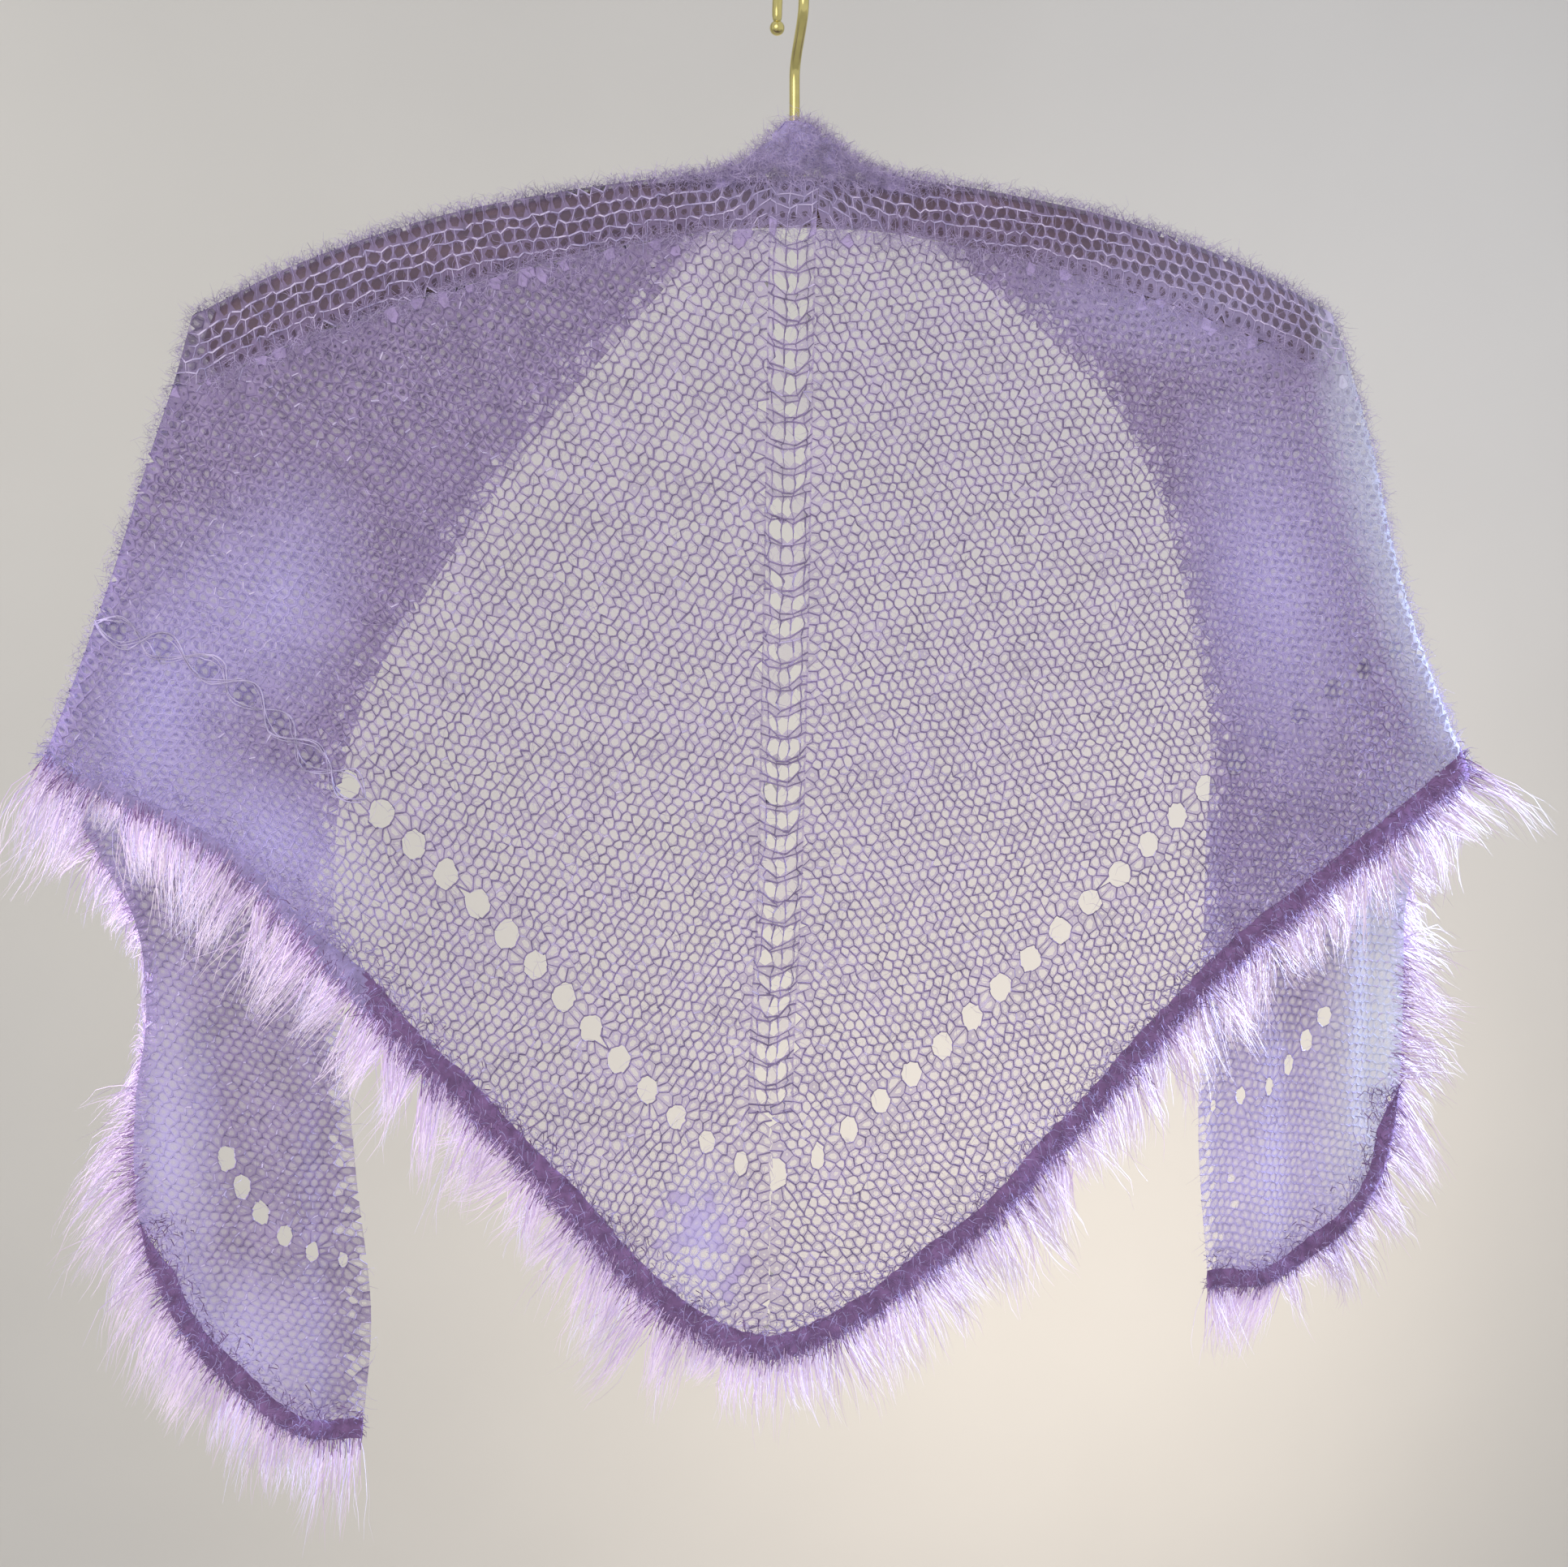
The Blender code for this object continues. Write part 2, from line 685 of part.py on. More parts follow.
def hook_path():
    """Centre line of the wire from its foot on the bar to the ball, with the wire's radius there."""
    foot = bar_top(0.0) + SEAM_GAP
    path = [
        (0.0, foot, FOOT_RADIUS),
        (0.0, foot + FOOT_HEIGHT - 0.6, FOOT_RADIUS),
        (0.0, foot + FOOT_HEIGHT, WIRE_RADIUS),
        (0.0, STEM_TOP - 3.0, WIRE_RADIUS),
    ]
    centre_z = WIRE_RADIUS - BOW_RADIUS
    neck = math.radians(BOW_NECK_ANGLE)
    neck_y = BOW_ACROSS + BOW_RADIUS * math.cos(neck)
    neck_z = centre_z + BOW_RADIUS * math.sin(neck)
    for share in (0.12, 0.38, 0.66, 0.88):
        path.append((neck_y * smooth_step(share) ** 1.1, STEM_TOP + (neck_z - STEM_TOP) * share, WIRE_RADIUS))
    angle = BOW_NECK_ANGLE
    while angle > BOW_TIP_ANGLE:
        turn = math.radians(angle)
        path.append((BOW_ACROSS + BOW_RADIUS * math.cos(turn),
                     centre_z + BOW_RADIUS * math.sin(turn), WIRE_RADIUS))
        angle -= BOW_STEP
    tip = math.radians(BOW_TIP_ANGLE)
    end_y = BOW_ACROSS + BOW_RADIUS * math.cos(tip)
    end_z = centre_z + BOW_RADIUS * math.sin(tip)
    path.append((end_y, end_z + 0.4, WIRE_RADIUS * 0.85))
    for turn in (-52, -20, 14, 48, 72):
        height = BALL_RADIUS * math.sin(math.radians(turn))
        path.append((end_y, end_z - BALL_RADIUS - height, BALL_RADIUS * math.cos(math.radians(turn))))
    return path


def make_hook():
    """The wire swept along its path, with the foot and the ball as wider rings."""
    path = hook_path()
    rings = []
    for number, (y, z, radius) in enumerate(path):
        before, after = path[max(number - 1, 0)], path[min(number + 1, len(path) - 1)]
        along = Vector((0.0, after[0] - before[0], after[1] - before[1])).normalized()
        across_wire = Vector((1.0, 0.0, 0.0))
        other = along.cross(across_wire)
        rings.append([
            Vector((0.0, y, z)) + radius * (math.cos(math.tau * side / WIRE_SIDES) * across_wire
                                            + math.sin(math.tau * side / WIRE_SIDES) * other)
            for side in range(WIRE_SIDES)
        ])
    return make_loft("hanger_hook", rings, WIRE_COLOUR, 0.22, 1.0)


def wave(number, rate, start):
    """An even, repeatable spread between -1 and 1 for the locks."""
    return math.sin(number * rate + start)


def make_trim(name, layer, lines, colour):
    """The hem band with its fur: a strip whose outer side carries one tapered lock to each step."""
    outer_line, inner_line, _, turns = lines
    points, faces = [], []
    outward = []
    for outer_2d, inner_2d, turn in zip(outer_line, inner_line, turns):
        outer_mid, outer_normal = layer.place(outer_2d)
        inner_mid, inner_normal = layer.place(inner_2d)
        direction = (outer_mid - inner_mid).normalized()
        outward.append((direction, outer_normal, turn))
        half = TRIM_WALL / 2
        points += [
            inner_mid + inner_normal * half,
            outer_mid + outer_normal * half,
            outer_mid - outer_normal * half,
            inner_mid - inner_normal * half,
        ]
    last = len(outer_line) - 1
    for n in range(last):
        a, b = 4 * n, 4 * (n + 1)
        faces += [(a, b, b + 1, a + 1), (a + 2, b + 2, b + 3, a + 3), (a + 3, b + 3, b, a)]
        direction, normal, turn = outward[n]
        after_direction, after_normal, after_turn = outward[n + 1]
        out = (direction + after_direction).normalized()
        face_out = (normal + after_normal).normalized()
        along = (points[b + 1] - points[a + 1]).normalized()
        back_turn = (turn + after_turn) / 2 * math.radians(LOCK_TURN)
        out = math.cos(back_turn) * out + math.sin(back_turn) * face_out
        corner = math.exp(-(min(n, last - 1 - n) * LOCK_PITCH / CORNER_REACH) ** 2) if layer is BACK else 0.0
        sweep = CORNER_SWEEP_LEFT if n < last / 2 else CORNER_SWEEP_RIGHT
        out += Vector((sweep * corner * (-1 if n < last / 2 else 1), 0, 0))
        sway = LOCK_LEAN * (0.6 * wave(n, 1.9, 0.4) + 0.4 * wave(n, 4.7, 1.0))
        lift = LOCK_LEAN * 0.8 * wave(n, 2.6, 2.0)
        first = (out + sway * 0.4 * along + lift * face_out).normalized()
        second = (first + sway * along + Vector((0, 0, -LOCK_DROOP))).normalized()
        length = LOCK_LENGTH + LOCK_LENGTH_SPREAD * wave(n, 3.7, 0.9)
        length *= 1.0 + CORNER_LENGTH * corner - TURNED_SHARE * (turn + after_turn) / 2
        root = [points[a + 1], points[b + 1], points[b + 2], points[a + 2]]
        centre = sum(root, Vector()) / 4
        ring = [a + 1, b + 1, b + 2, a + 2]
        middle_at = centre + first * length * 0.5
        tip_at = middle_at + second * length * 0.5
        for at, share in ((middle_at, LOCK_MIDDLE), (tip_at, LOCK_TIP / LOCK_PITCH)):
            start = len(points)
            points.extend(at + (point - centre) * share for point in root)
            new_ring = [start, start + 1, start + 2, start + 3]
            for side in range(4):
                after = (side + 1) % 4
                faces.append((ring[side], ring[after], new_ring[after], new_ring[side]))
            ring = new_ring
        faces.append(tuple(ring))
    faces.append((0, 1, 2, 3))
    end = 4 * last
    faces.append((end + 3, end + 2, end + 1, end))
    return make_object(name, points, faces, colour, 0.85, 0.0)


def face_outwards(obj):
    """Turn the faces of a closed mesh outwards."""
    mesh = obj.data
    volume = 0.0
    for polygon in mesh.polygons:
        corners = [mesh.vertices[i].co for i in polygon.vertices]
        for b, c in zip(corners[1:], corners[2:]):
            volume += corners[0].dot(b.cross(c))
    if volume < 0:
        mesh.flip_normals()


def build():
    """Clear the scene and make every piece of the shawl and its hanger."""
    for obj in list(bpy.data.objects):
        bpy.data.objects.remove(obj, do_unlink=True)

    left_up = line_direction(FOLD_LEFT, True)
    right_up = line_direction(FOLD_RIGHT, True)
    back = hem_lines(HEM_BACK, LOCK_PITCH, Vector((0, -300)), left_up, right_up)
    left = hem_lines(HEM_LEFT, LOCK_PITCH, Vector((-190, -420)), left_up, line_direction(INNER_LEFT, True))
    right = hem_lines(HEM_RIGHT, LOCK_PITCH, Vector((200, -420)), right_up, line_direction(INNER_RIGHT, True))

    left_end, right_end = back[2][0].y + CORNER_CLEARANCE, back[2][-1].y + CORNER_CLEARANCE
    hang = [p for p in HANG_LINE if p.y > (left_end if p.x < 0 else right_end)]
    holes = eyelet_row(EYELETS_BACK) + lace_groups()
    turned = wrap_lines()
    panels = [make_panel("back_panel", BACK, hang + back[2][::-1], holes, turned, NET_COLOUR)]

    for name, layer, lines, inner_rows, eyelets, side in (
        ("front_flap_left", FRONT_LEFT, left, INNER_LEFT, EYELETS_LEFT, -1),
        ("front_flap_right", FRONT_RIGHT, right, INNER_RIGHT, EYELETS_RIGHT, 1),
    ):
        knit = lines[2]
        start_x = inner_rows[0][0]
        inner = smooth_curve(((start_x, ridge(start_x)),) + inner_rows[1:], EDGE_STEP)
        inner = [Vector(p) for p in inner if p.y > knit[-1].y + CORNER_CLEARANCE]
        hang = [p for p in HANG_LINE
                if side * (p.x - start_x) > INNER_CLEARANCE and p.y > knit[0].y + CORNER_CLEARANCE]
        if side > 0:
            hang.reverse()
        outline = knit[::-1] + hang + inner
        panels.append(make_panel(name, layer, outline, eyelet_row(eyelets), turned, NET_COLOUR))

    trims = [
        make_trim("fur_hem_back", BACK, back, FUR_COLOUR),
        make_trim("fur_hem_left", FRONT_LEFT, left, FUR_COLOUR),
        make_trim("fur_hem_right", FRONT_RIGHT, right, FUR_COLOUR),
    ]
    for obj in panels + trims + [make_bar(), make_hook()]:
        face_outwards(obj)


build()
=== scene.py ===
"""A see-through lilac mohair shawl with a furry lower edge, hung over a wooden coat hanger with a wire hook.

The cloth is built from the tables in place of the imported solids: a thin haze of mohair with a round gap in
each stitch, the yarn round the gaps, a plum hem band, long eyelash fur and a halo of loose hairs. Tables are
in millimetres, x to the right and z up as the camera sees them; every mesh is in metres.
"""
import math
from collections import namedtuple

import bpy
import numpy as np
from bpy.props import FloatProperty, FloatVectorProperty, IntProperty, PointerProperty
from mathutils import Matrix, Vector


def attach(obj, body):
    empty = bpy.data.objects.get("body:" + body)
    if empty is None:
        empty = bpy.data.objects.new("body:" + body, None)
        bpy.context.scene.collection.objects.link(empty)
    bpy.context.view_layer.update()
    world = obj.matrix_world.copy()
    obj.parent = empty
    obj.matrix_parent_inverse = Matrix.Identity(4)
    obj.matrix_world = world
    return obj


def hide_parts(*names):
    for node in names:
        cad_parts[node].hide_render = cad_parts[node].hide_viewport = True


bl_info = {
    "name": "Knitted shawl on a coat hanger",
    "version": (1, 0, 0),
    "blender": (4, 5, 0),
    "location": "View3D > Sidebar > Shawl",
    "description": "Dresses the packed shawl and its hanger: mohair net, fur, lacquered wood, gilt wire",
    "category": "Object",
}

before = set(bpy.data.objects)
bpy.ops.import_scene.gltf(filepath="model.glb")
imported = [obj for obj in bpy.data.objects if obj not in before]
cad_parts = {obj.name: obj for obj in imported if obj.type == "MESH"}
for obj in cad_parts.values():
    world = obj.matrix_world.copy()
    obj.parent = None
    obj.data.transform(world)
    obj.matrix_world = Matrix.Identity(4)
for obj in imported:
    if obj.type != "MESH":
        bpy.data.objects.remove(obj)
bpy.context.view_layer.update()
BODY = "root"
MM = 0.001
SEED = 20


def linear(code):
    """The linear colour of an sRGB hex value."""
    parts = [int(code[i:i + 2], 16) / 255 for i in (1, 3, 5)]
    return tuple(p / 12.92 if p <= 0.04045 else ((p + 0.055) / 1.055) ** 2.4 for p in parts)


# Drape of the cloth, in millimetres from the height of the hook's inner top and the bar's middle plane
WRAP_RADIUS = 8.0
SEAM_GAP = 0.3
CLOTH_SHIFT_Y = -7.0
BAR_TOP = -80.4
BAR_END = 212.0
BAR_THICKNESS = 12.0
BAR_RISE_TO_RIGHT = 0.0145
ARCH = ((0.0, 0.0, 18.3), (35.0, 1.3, 18.5), (80.0, 6.8, 21.0), (130.0, 16.8, 24.0),
        (178.0, 32.8, 24.0), (214.0, 50.3, 22.0))  # out, drop, height
CLOTH_LIFT = 1.6
TENT_HEIGHT = 17.5
TENT_LEFT = 16.0
TENT_RIGHT = 21.0
STEM_ROOM = 3.4
STEM_ROOM_WIDTH = 7.0
STEM_ROOM_FADE = 12.0
FOLD_START = 215.6
FOLD_LEFT = ((-222.5, -155.0), (-231.0, -178.0), (-246.0, -221.0), (-260.0, -257.0), (-273.0, -288.0))
FOLD_RIGHT = ((225.5, -150.0), (236.0, -180.0), (245.0, -213.0), (256.0, -246.0), (271.0, -281.0),
              (285.0, -310.0))

# Outer line of the hem band, where the fur starts: x, z, and the turn to the back
HEM_BACK = (
    (-273.0, -288.0, 0.0), (-252.0, -301.0, 0.0), (-231.0, -311.0, 0.0), (-206.0, -331.0, 0.0),
    (-178.0, -366.0, 0.0), (-156.0, -394.0, 0.0), (-106.0, -451.0, 0.0), (-63.0, -503.0, 0.0),
    (-40.0, -522.0, 0.0), (-12.0, -531.0, 0.0), (14.0, -526.0, 0.0), (58.0, -500.0, 0.0),
    (88.0, -476.0, 0.0), (145.0, -420.0, 0.0), (173.0, -392.0, 0.0), (207.0, -366.0, 0.0),
    (242.0, -341.0, 0.0), (285.0, -310.0, 0.0),
)
HEM_LEFT = (
    (-273.0, -288.0, 0.0), (-258.0, -322.0, 0.3), (-245.0, -352.0, 0.9), (-243.0, -388.0, 1.0),
    (-248.0, -419.0, 0.5), (-250.0, -451.0, 0.0), (-247.0, -480.0, 0.0), (-238.0, -507.0, 0.0),
    (-224.0, -531.0, 0.0), (-203.0, -553.0, 0.0), (-184.0, -563.0, 0.0), (-169.0, -564.0, 0.0),
)
HEM_RIGHT = (
    (285.0, -310.0, 0.0), (276.0, -340.0, 0.3), (270.0, -368.0, 0.5), (271.0, -400.0, 0.0),
    (272.0, -435.0, 0.0), (271.0, -467.0, 0.0), (262.0, -498.0, 0.0), (241.0, -522.0, 0.0),
    (215.0, -534.0, 0.0), (188.0, -535.0, 0.0),
)
INNER_LEFT = (
    (-15.0, 0.0), (-33.0, -104.0), (-83.0, -160.0), (-113.0, -199.0), (-144.0, -243.0), (-165.0, -284.0),
    (-173.0, -337.0), (-171.0, -399.0), (-168.0, -457.0), (-164.0, -512.0), (-169.0, -564.0),
)
INNER_RIGHT = (
    (16.0, 0.0), (51.0, -99.0), (84.0, -123.0), (124.0, -156.0), (149.0, -195.0), (164.0, -240.0),
    (177.0, -292.0), (178.0, -343.0), (179.0, -394.0), (180.0, -467.0), (188.0, -535.0),
)

# Hem band: its width, the length of its ends that turn into the folds, how square to its line it stays at
# least, the room left for that turn, and the step between its points
HEM_WIDTH = 12.0
HEM_END = 24.0
LEAST_SQUARE = 0.62
TWIST_ROOM = 0.6
HEM_STEP = 3.0

# Soft folds: two ends, half width, and height away from the bar's plane
FOLDS_BACK = (
    (-196.0, -165.0, -214.0, -300.0, 17.0, 3.2), (-120.0, -135.0, -150.0, -330.0, 26.0, 2.0),
    (-28.0, -110.0, -52.0, -380.0, 22.0, 1.8), (24.0, -110.0, 34.0, -400.0, 24.0, 2.2),
    (118.0, -140.0, 132.0, -350.0, 24.0, 2.4), (196.0, -160.0, 232.0, -320.0, 18.0, 3.4),
    (-62.0, -420.0, -84.0, -470.0, 16.0, 2.6), (66.0, -410.0, 84.0, -470.0, 16.0, 2.6),
    (-8.0, -430.0, -14.0, -520.0, 14.0, 3.0),
)
FOLDS_LEFT = (
    (-188.0, -150.0, -204.0, -420.0, 17.0, 4.0), (-212.0, -400.0, -214.0, -540.0, 13.0, 5.0),
    (-178.0, -330.0, -176.0, -560.0, 9.0, 4.0), (-238.0, -330.0, -242.0, -470.0, 9.0, 4.5),
)
FOLDS_RIGHT = (
    (186.0, -150.0, 208.0, -400.0, 17.0, 4.0), (222.0, -390.0, 232.0, -520.0, 13.0, 5.0),
    (188.0, -330.0, 196.0, -530.0, 9.0, 4.0), (258.0, -340.0, 262.0, -460.0, 9.0, 4.5),
)
LEAN_BACK = ((-160.0, 0.0), (-300.0, 1.5), (-530.0, 4.0))
LEAN_FRONT = ((-150.0, 0.0), (-250.0, 4.0), (-400.0, 10.0), (-560.0, 14.0))
LEAN_START = 55.0

# Where the net is more open or denser than elsewhere: x, z, radius, change of the open share
PATCHES = (
    (-58.0, -334.0, 30.0, 0.09), (-40.0, -470.0, 17.0, -0.30), (-24.0, -500.0, 15.0, -0.30),
    (64.0, -298.0, 34.0, -0.08), (-90.0, -420.0, 30.0, -0.10), (60.0, -455.0, 30.0, -0.10),
    (20.0, -200.0, 40.0, 0.05), (-120.0, -300.0, 30.0, 0.05),
)

# A spot where the brushed hairs are matted: x, z, half width, half height
MATTED = np.array((-38.0, -484.0, 16.0, 27.0))

# Eyelets: x, z, half width, half height
EYELET_PITCH = 16.0
EYELETS_BACK = (
    (-245.0, -242.0, 3.4, 4.2), (-225.0, -249.0, 4.0, 4.8), (-203.0, -264.0, 4.3, 5.2),
    (-176.0, -292.0, 4.5, 5.3), (-160.0, -306.0, 4.7, 5.7), (-112.0, -356.0, 4.7, 5.8),
    (-60.0, -419.0, 4.3, 5.6), (-27.0, -449.0, 3.0, 5.2), (-4.0, -455.0, 2.4, 6.2),
    (20.0, -440.0, 3.7, 5.6), (86.0, -383.0, 4.7, 5.6), (160.0, -316.0, 4.6, 5.4),
    (187.0, -296.0, 4.4, 5.2), (217.0, -274.0, 4.2, 5.0), (246.0, -259.0, 3.4, 4.2),
)
CHAIN_TO = -165.0  # left of this, loose strands cross between the eyelets like a chain
FLAP_EYELET_PITCH = 14.0
EYELETS_LEFT = (
    (-216.0, -446.0, 3.5, 5.4), (-209.0, -461.0, 3.4, 5.2), (-200.0, -473.0, 3.2, 5.0),
    (-187.0, -484.0, 2.8, 4.4), (-174.0, -490.0, 2.0, 3.6),
)
EYELETS_RIGHT = (
    (236.0, -417.0, 3.0, 4.8), (225.0, -434.0, 2.6, 5.2), (212.0, -446.0, 2.2, 4.4),
    (197.0, -450.0, 2.0, 4.2), (187.0, -453.0, 1.6, 3.2),
)

# Painted light on the net, and one plum tint. The pale ovals are painted light where the lamps' light catches
# the cloth, the icy ovals are a painted highlight where the cool light from the right catches the right fold,
# and the plum oval is darker along the left flap's inner edge. Each row: middle x and z, half width, half
# height, the long axis' turn from upright in degrees, and the colour in the middle
PAINTED_LIGHT_AND_TINT = (
    (-40.0, -482.0, 22.0, 44.0, 0.0, "pale"), (-232.0, -268.0, 34.0, 80.0, 18.0, "pale"),
    (-196.0, -318.0, 30.0, 60.0, -50.0, "pale"),
    (258.0, -228.0, 30.0, 170.0, -20.5, "painted_highlight"), (240.0, -190.0, 26.0, 120.0, -17.0, "painted_highlight"),
    (0.0, -70.0, 60.0, 40.0, 0.0, "pale"),
    (165.0, -120.0, 90.0, 34.0, 0.0, "pale"), (-238.0, -440.0, 22.0, 90.0, 0.0, "pale"),
    (-214.0, -524.0, 46.0, 44.0, 0.0, "pale"), (-166.0, -480.0, 14.0, 120.0, 0.0, "plum"),
    (208.0, -488.0, 84.0, 90.0, 0.0, "pale"), (268.0, -420.0, 40.0, 140.0, 0.0, "painted_highlight"),
    (194.0, -230.0, 44.0, 100.0, -12.0, "pale"), (-190.0, -232.0, 34.0, 56.0, 15.0, "pale"),
)

# The spine's height and x, and its lace: groups of gaps between columns
SPINE = ((-60.0, 0.0), (-105.0, -3.0), (-223.0, -5.0), (-346.0, -8.0), (-419.0, -12.0), (-531.0, -14.0))
LACE_TOP = -98.0
LACE_PITCH = 9.0
LACE_GROUPS = 37
LACE_COLUMNS = (-8.8, -6.3, -2.1, 2.1, 6.3, 8.8)
LACE_ROWS = ((0.0, 0.40), (2.8, 0.50), (5.8, 0.60), (7.4, 0.50))  # depth in a group, slope of its V
LACE_END = LACE_TOP - LACE_GROUPS * LACE_PITCH

# How the knit varies: the open share of a stitch with its limits, how far a knot strays as a share of the
# stitch's width, and how far the near and the far knots stand off the cloth's middle
OPEN_SHARE = 0.66
OPEN_LEAST = 0.22
OPEN_MOST = 0.84
KNOT_STRAYS = 0.115
NEAR_KNOT = 0.32
FAR_KNOT = -0.24
BAR_STITCH = 4.5
BAR_ROW = 4.4

# Height under which the band of the back, left and right hem shows; above it the edge is turned to the back
BAND_SHOWS_BELOW = (0.0, -468.0, -448.0)
LILAC_HEM_TO = -165.0  # the back hem's band is a paler lilac left of this

# How the knit's ribs run: bottom corner, angle of a rib and of the hem, and how much the ribs turn upright
TIP = (-12.0, -531.0)
RIBS_LEFT = (49.0, 136.0, 4.0)
RIBS_RIGHT = (128.0, 37.0, 0.0)
RIBS_FLAP_LEFT = (50.0, 140.0, 0.0)
RIBS_FLAP_RIGHT = (-10.0, 80.0, 0.0)

# Hook; the bow runs between two angles from the level of its middle
WIRE_RADIUS = 1.9
BOW_RADIUS = 21.0
BOW_ACROSS = 7.0
BOW_START = 186.0
BOW_END = -4.0
STEM_TOP = -46.0
BALL_RADIUS = 2.8
FOOT_RADIUS = 4.0
FOOT_HEIGHT = 2.4

# The photograph's viewpoint in metres: about 0.85 m away, 13 degrees to the left and 9 degrees above
CAMERA_AT = (-0.19715, -0.82424, -0.17405)
CAMERA_AIM = (-0.00396, -0.007, -0.30556)
WALL_AT = 1.9
WALL_TOP = 2.5
FLOOR_AT = -2.4
FLOOR_FRONT = -4.0
STAGE_HALF_WIDTH = 9.0


class NetSettings(bpy.types.PropertyGroup):
    """Sizes and colours of the knitted net."""
    stitch: FloatProperty(name="Stitch width", description="Width of one stitch in the back panel",
                          default=0.0039, min=0.003, unit="LENGTH")
    row: FloatProperty(name="Row height", description="Height of one row in the back panel",
                       default=0.0035, min=0.0025, unit="LENGTH")
    flap_stitch: FloatProperty(name="Flap stitch width", description="Width of one stitch in the wings",
                               default=0.0032, min=0.0025, unit="LENGTH")
    flap_row: FloatProperty(name="Flap row height", description="Height of one row in the wings",
                            default=0.0036, min=0.0025, unit="LENGTH")
    yarn: FloatProperty(name="Yarn width", description="Width of the yarn's core",
                        default=0.00058, min=0.0002, unit="LENGTH")
    haze: FloatVectorProperty(name="Haze colour", description="Soft mohair between the yarns",
                              default=linear("#b4a1cf"), subtype="COLOR")
    core: FloatVectorProperty(name="Yarn colour", description="Darker core of the yarn",
                              default=linear("#9282ab"), subtype="COLOR")
    # painted light: this pale colour goes on the net's pale ovals and on the pale yarn, where it stands in
    # for the light that catches the cloth
    pale: FloatVectorProperty(name="Bloom colour", description="Net where the brushed hairs lie thick",
                              default=linear("#d2c7fa"), subtype="COLOR")
    # painted highlight: this icy colour stands in for the cool light from the right that catches the right
    # fold
    painted_highlight: FloatVectorProperty(name="Fold bloom colour", description="Net where a fold shows its hairs edge-on",
                             default=linear("#e6ebff"), subtype="COLOR")
    halo_hairs: IntProperty(name="Halo hairs", description="Loose hairs that stand off the net",
                            default=17000, min=0)


class FurSettings(bpy.types.PropertyGroup):
    """Sizes and colours of the hem band and its fur."""
    length: FloatProperty(name="Fur length", description="Usual length of the eyelash fur",
                          default=0.032, min=0.005, unit="LENGTH")
    strand: FloatProperty(name="Strand width", description="Width of one strand at its root",
                          default=0.00038, min=0.0001, unit="LENGTH")
    density: FloatProperty(name="Strands per millimetre", description="Strands rooted in a millimetre of hem",
                           default=9.0, min=1.0)
    band: FloatVectorProperty(name="Band colour", description="Plum ground of the hem band",
                              default=linear("#7f628f"), subtype="COLOR")
    band_lilac: FloatVectorProperty(name="Pale band colour", description="Lilac of the band at the left side",
                                    default=linear("#a294c4"), subtype="COLOR")
    root: FloatVectorProperty(name="Fur colour", description="Lilac of the fur near its roots",
                              default=linear("#dac1ea"), subtype="COLOR")
    tip: FloatVectorProperty(name="Tip colour", description="Pale pink white of the fur's tips",
                             default=linear("#f1dff6"), subtype="COLOR")


class HangerSettings(bpy.types.PropertyGroup):
    """Colours of the hanger."""
    wood: FloatVectorProperty(name="Wood", description="Brown of the lacquered bar",
                              default=linear("#5b3f33"), subtype="COLOR")
    wire: FloatVectorProperty(name="Wire", description="Pale gold of the hook",
                              default=linear("#dcd08a"), subtype="COLOR")


class StageSettings(bpy.types.PropertyGroup):
    """Room light and backdrop."""
    wall: FloatVectorProperty(name="Wall", description="Pale painted wall",
                              default=linear("#d4d3d0"), subtype="COLOR")
    lens: FloatProperty(name="Lens", description="Focal length", default=51.1, min=10.0, unit="CAMERA")


def smooth_step(value):
    """0 below 0, 1 above 1 and an even S between them."""
    share = np.clip(value, 0.0, 1.0)
    return share * share * (3.0 - 2.0 * share)


def smooth_curve(rows, step):
    """Points about a step apart on a smooth curve through the rows, with every column carried along."""
    points = np.array(rows, float)
    ends = np.vstack([2 * points[0] - points[1], points, 2 * points[-1] - points[-2]])
    fine = []
    for p0, p1, p2, p3 in zip(ends, ends[1:], ends[2:], ends[3:]):
        for t in np.arange(12) / 12:
            fine.append(0.5 * (2 * p1 + (p2 - p0) * t + (2 * p0 - 5 * p1 + 4 * p2 - p3) * t ** 2
                               + (3 * p1 - p0 - 3 * p2 + p3) * t ** 3))
    fine = np.array(fine + [points[-1]])
    lengths = np.concatenate([[0.0], np.cumsum(np.linalg.norm(np.diff(fine[:, :2], axis=0), axis=1))])
    wanted = np.linspace(0.0, lengths[-1], max(2, round(lengths[-1] / step)) + 1)
    return np.stack([np.interp(wanted, lengths, fine[:, c]) for c in range(fine.shape[1])], axis=1)


ARCH_CURVE = smooth_curve(ARCH, 4.0)


def arch(x, column):
    """The bar's drop or height at a distance from its middle."""
    return np.interp(np.abs(x), ARCH_CURVE[:, 0], ARCH_CURVE[:, column])


def bar_top(x):
    """Height of the bar's upper edge."""
    return BAR_TOP - arch(x, 1) + BAR_RISE_TO_RIGHT * x


def ridge(x):
    """Height of the cloth over the bar, with the tent that the stem lifts."""
    width = np.where(x < 0, TENT_LEFT, TENT_RIGHT)
    return bar_top(x) + CLOTH_LIFT + TENT_HEIGHT * np.exp(-(x / width) ** 2)


def hang_line():
    """The line that the cloth turns over, from the left fold's foot over the bar to the right fold's foot."""
    left = smooth_curve(((-FOLD_START, float(ridge(-FOLD_START))),) + FOLD_LEFT, 8.0)
    right = smooth_curve(((FOLD_START, float(ridge(FOLD_START))),) + FOLD_RIGHT, 8.0)
    x = np.linspace(-FOLD_START, FOLD_START, 109)[1:-1]
    return np.vstack([left[::-1], np.stack([x, ridge(x)], axis=1), right])


HANG_LINE = hang_line()


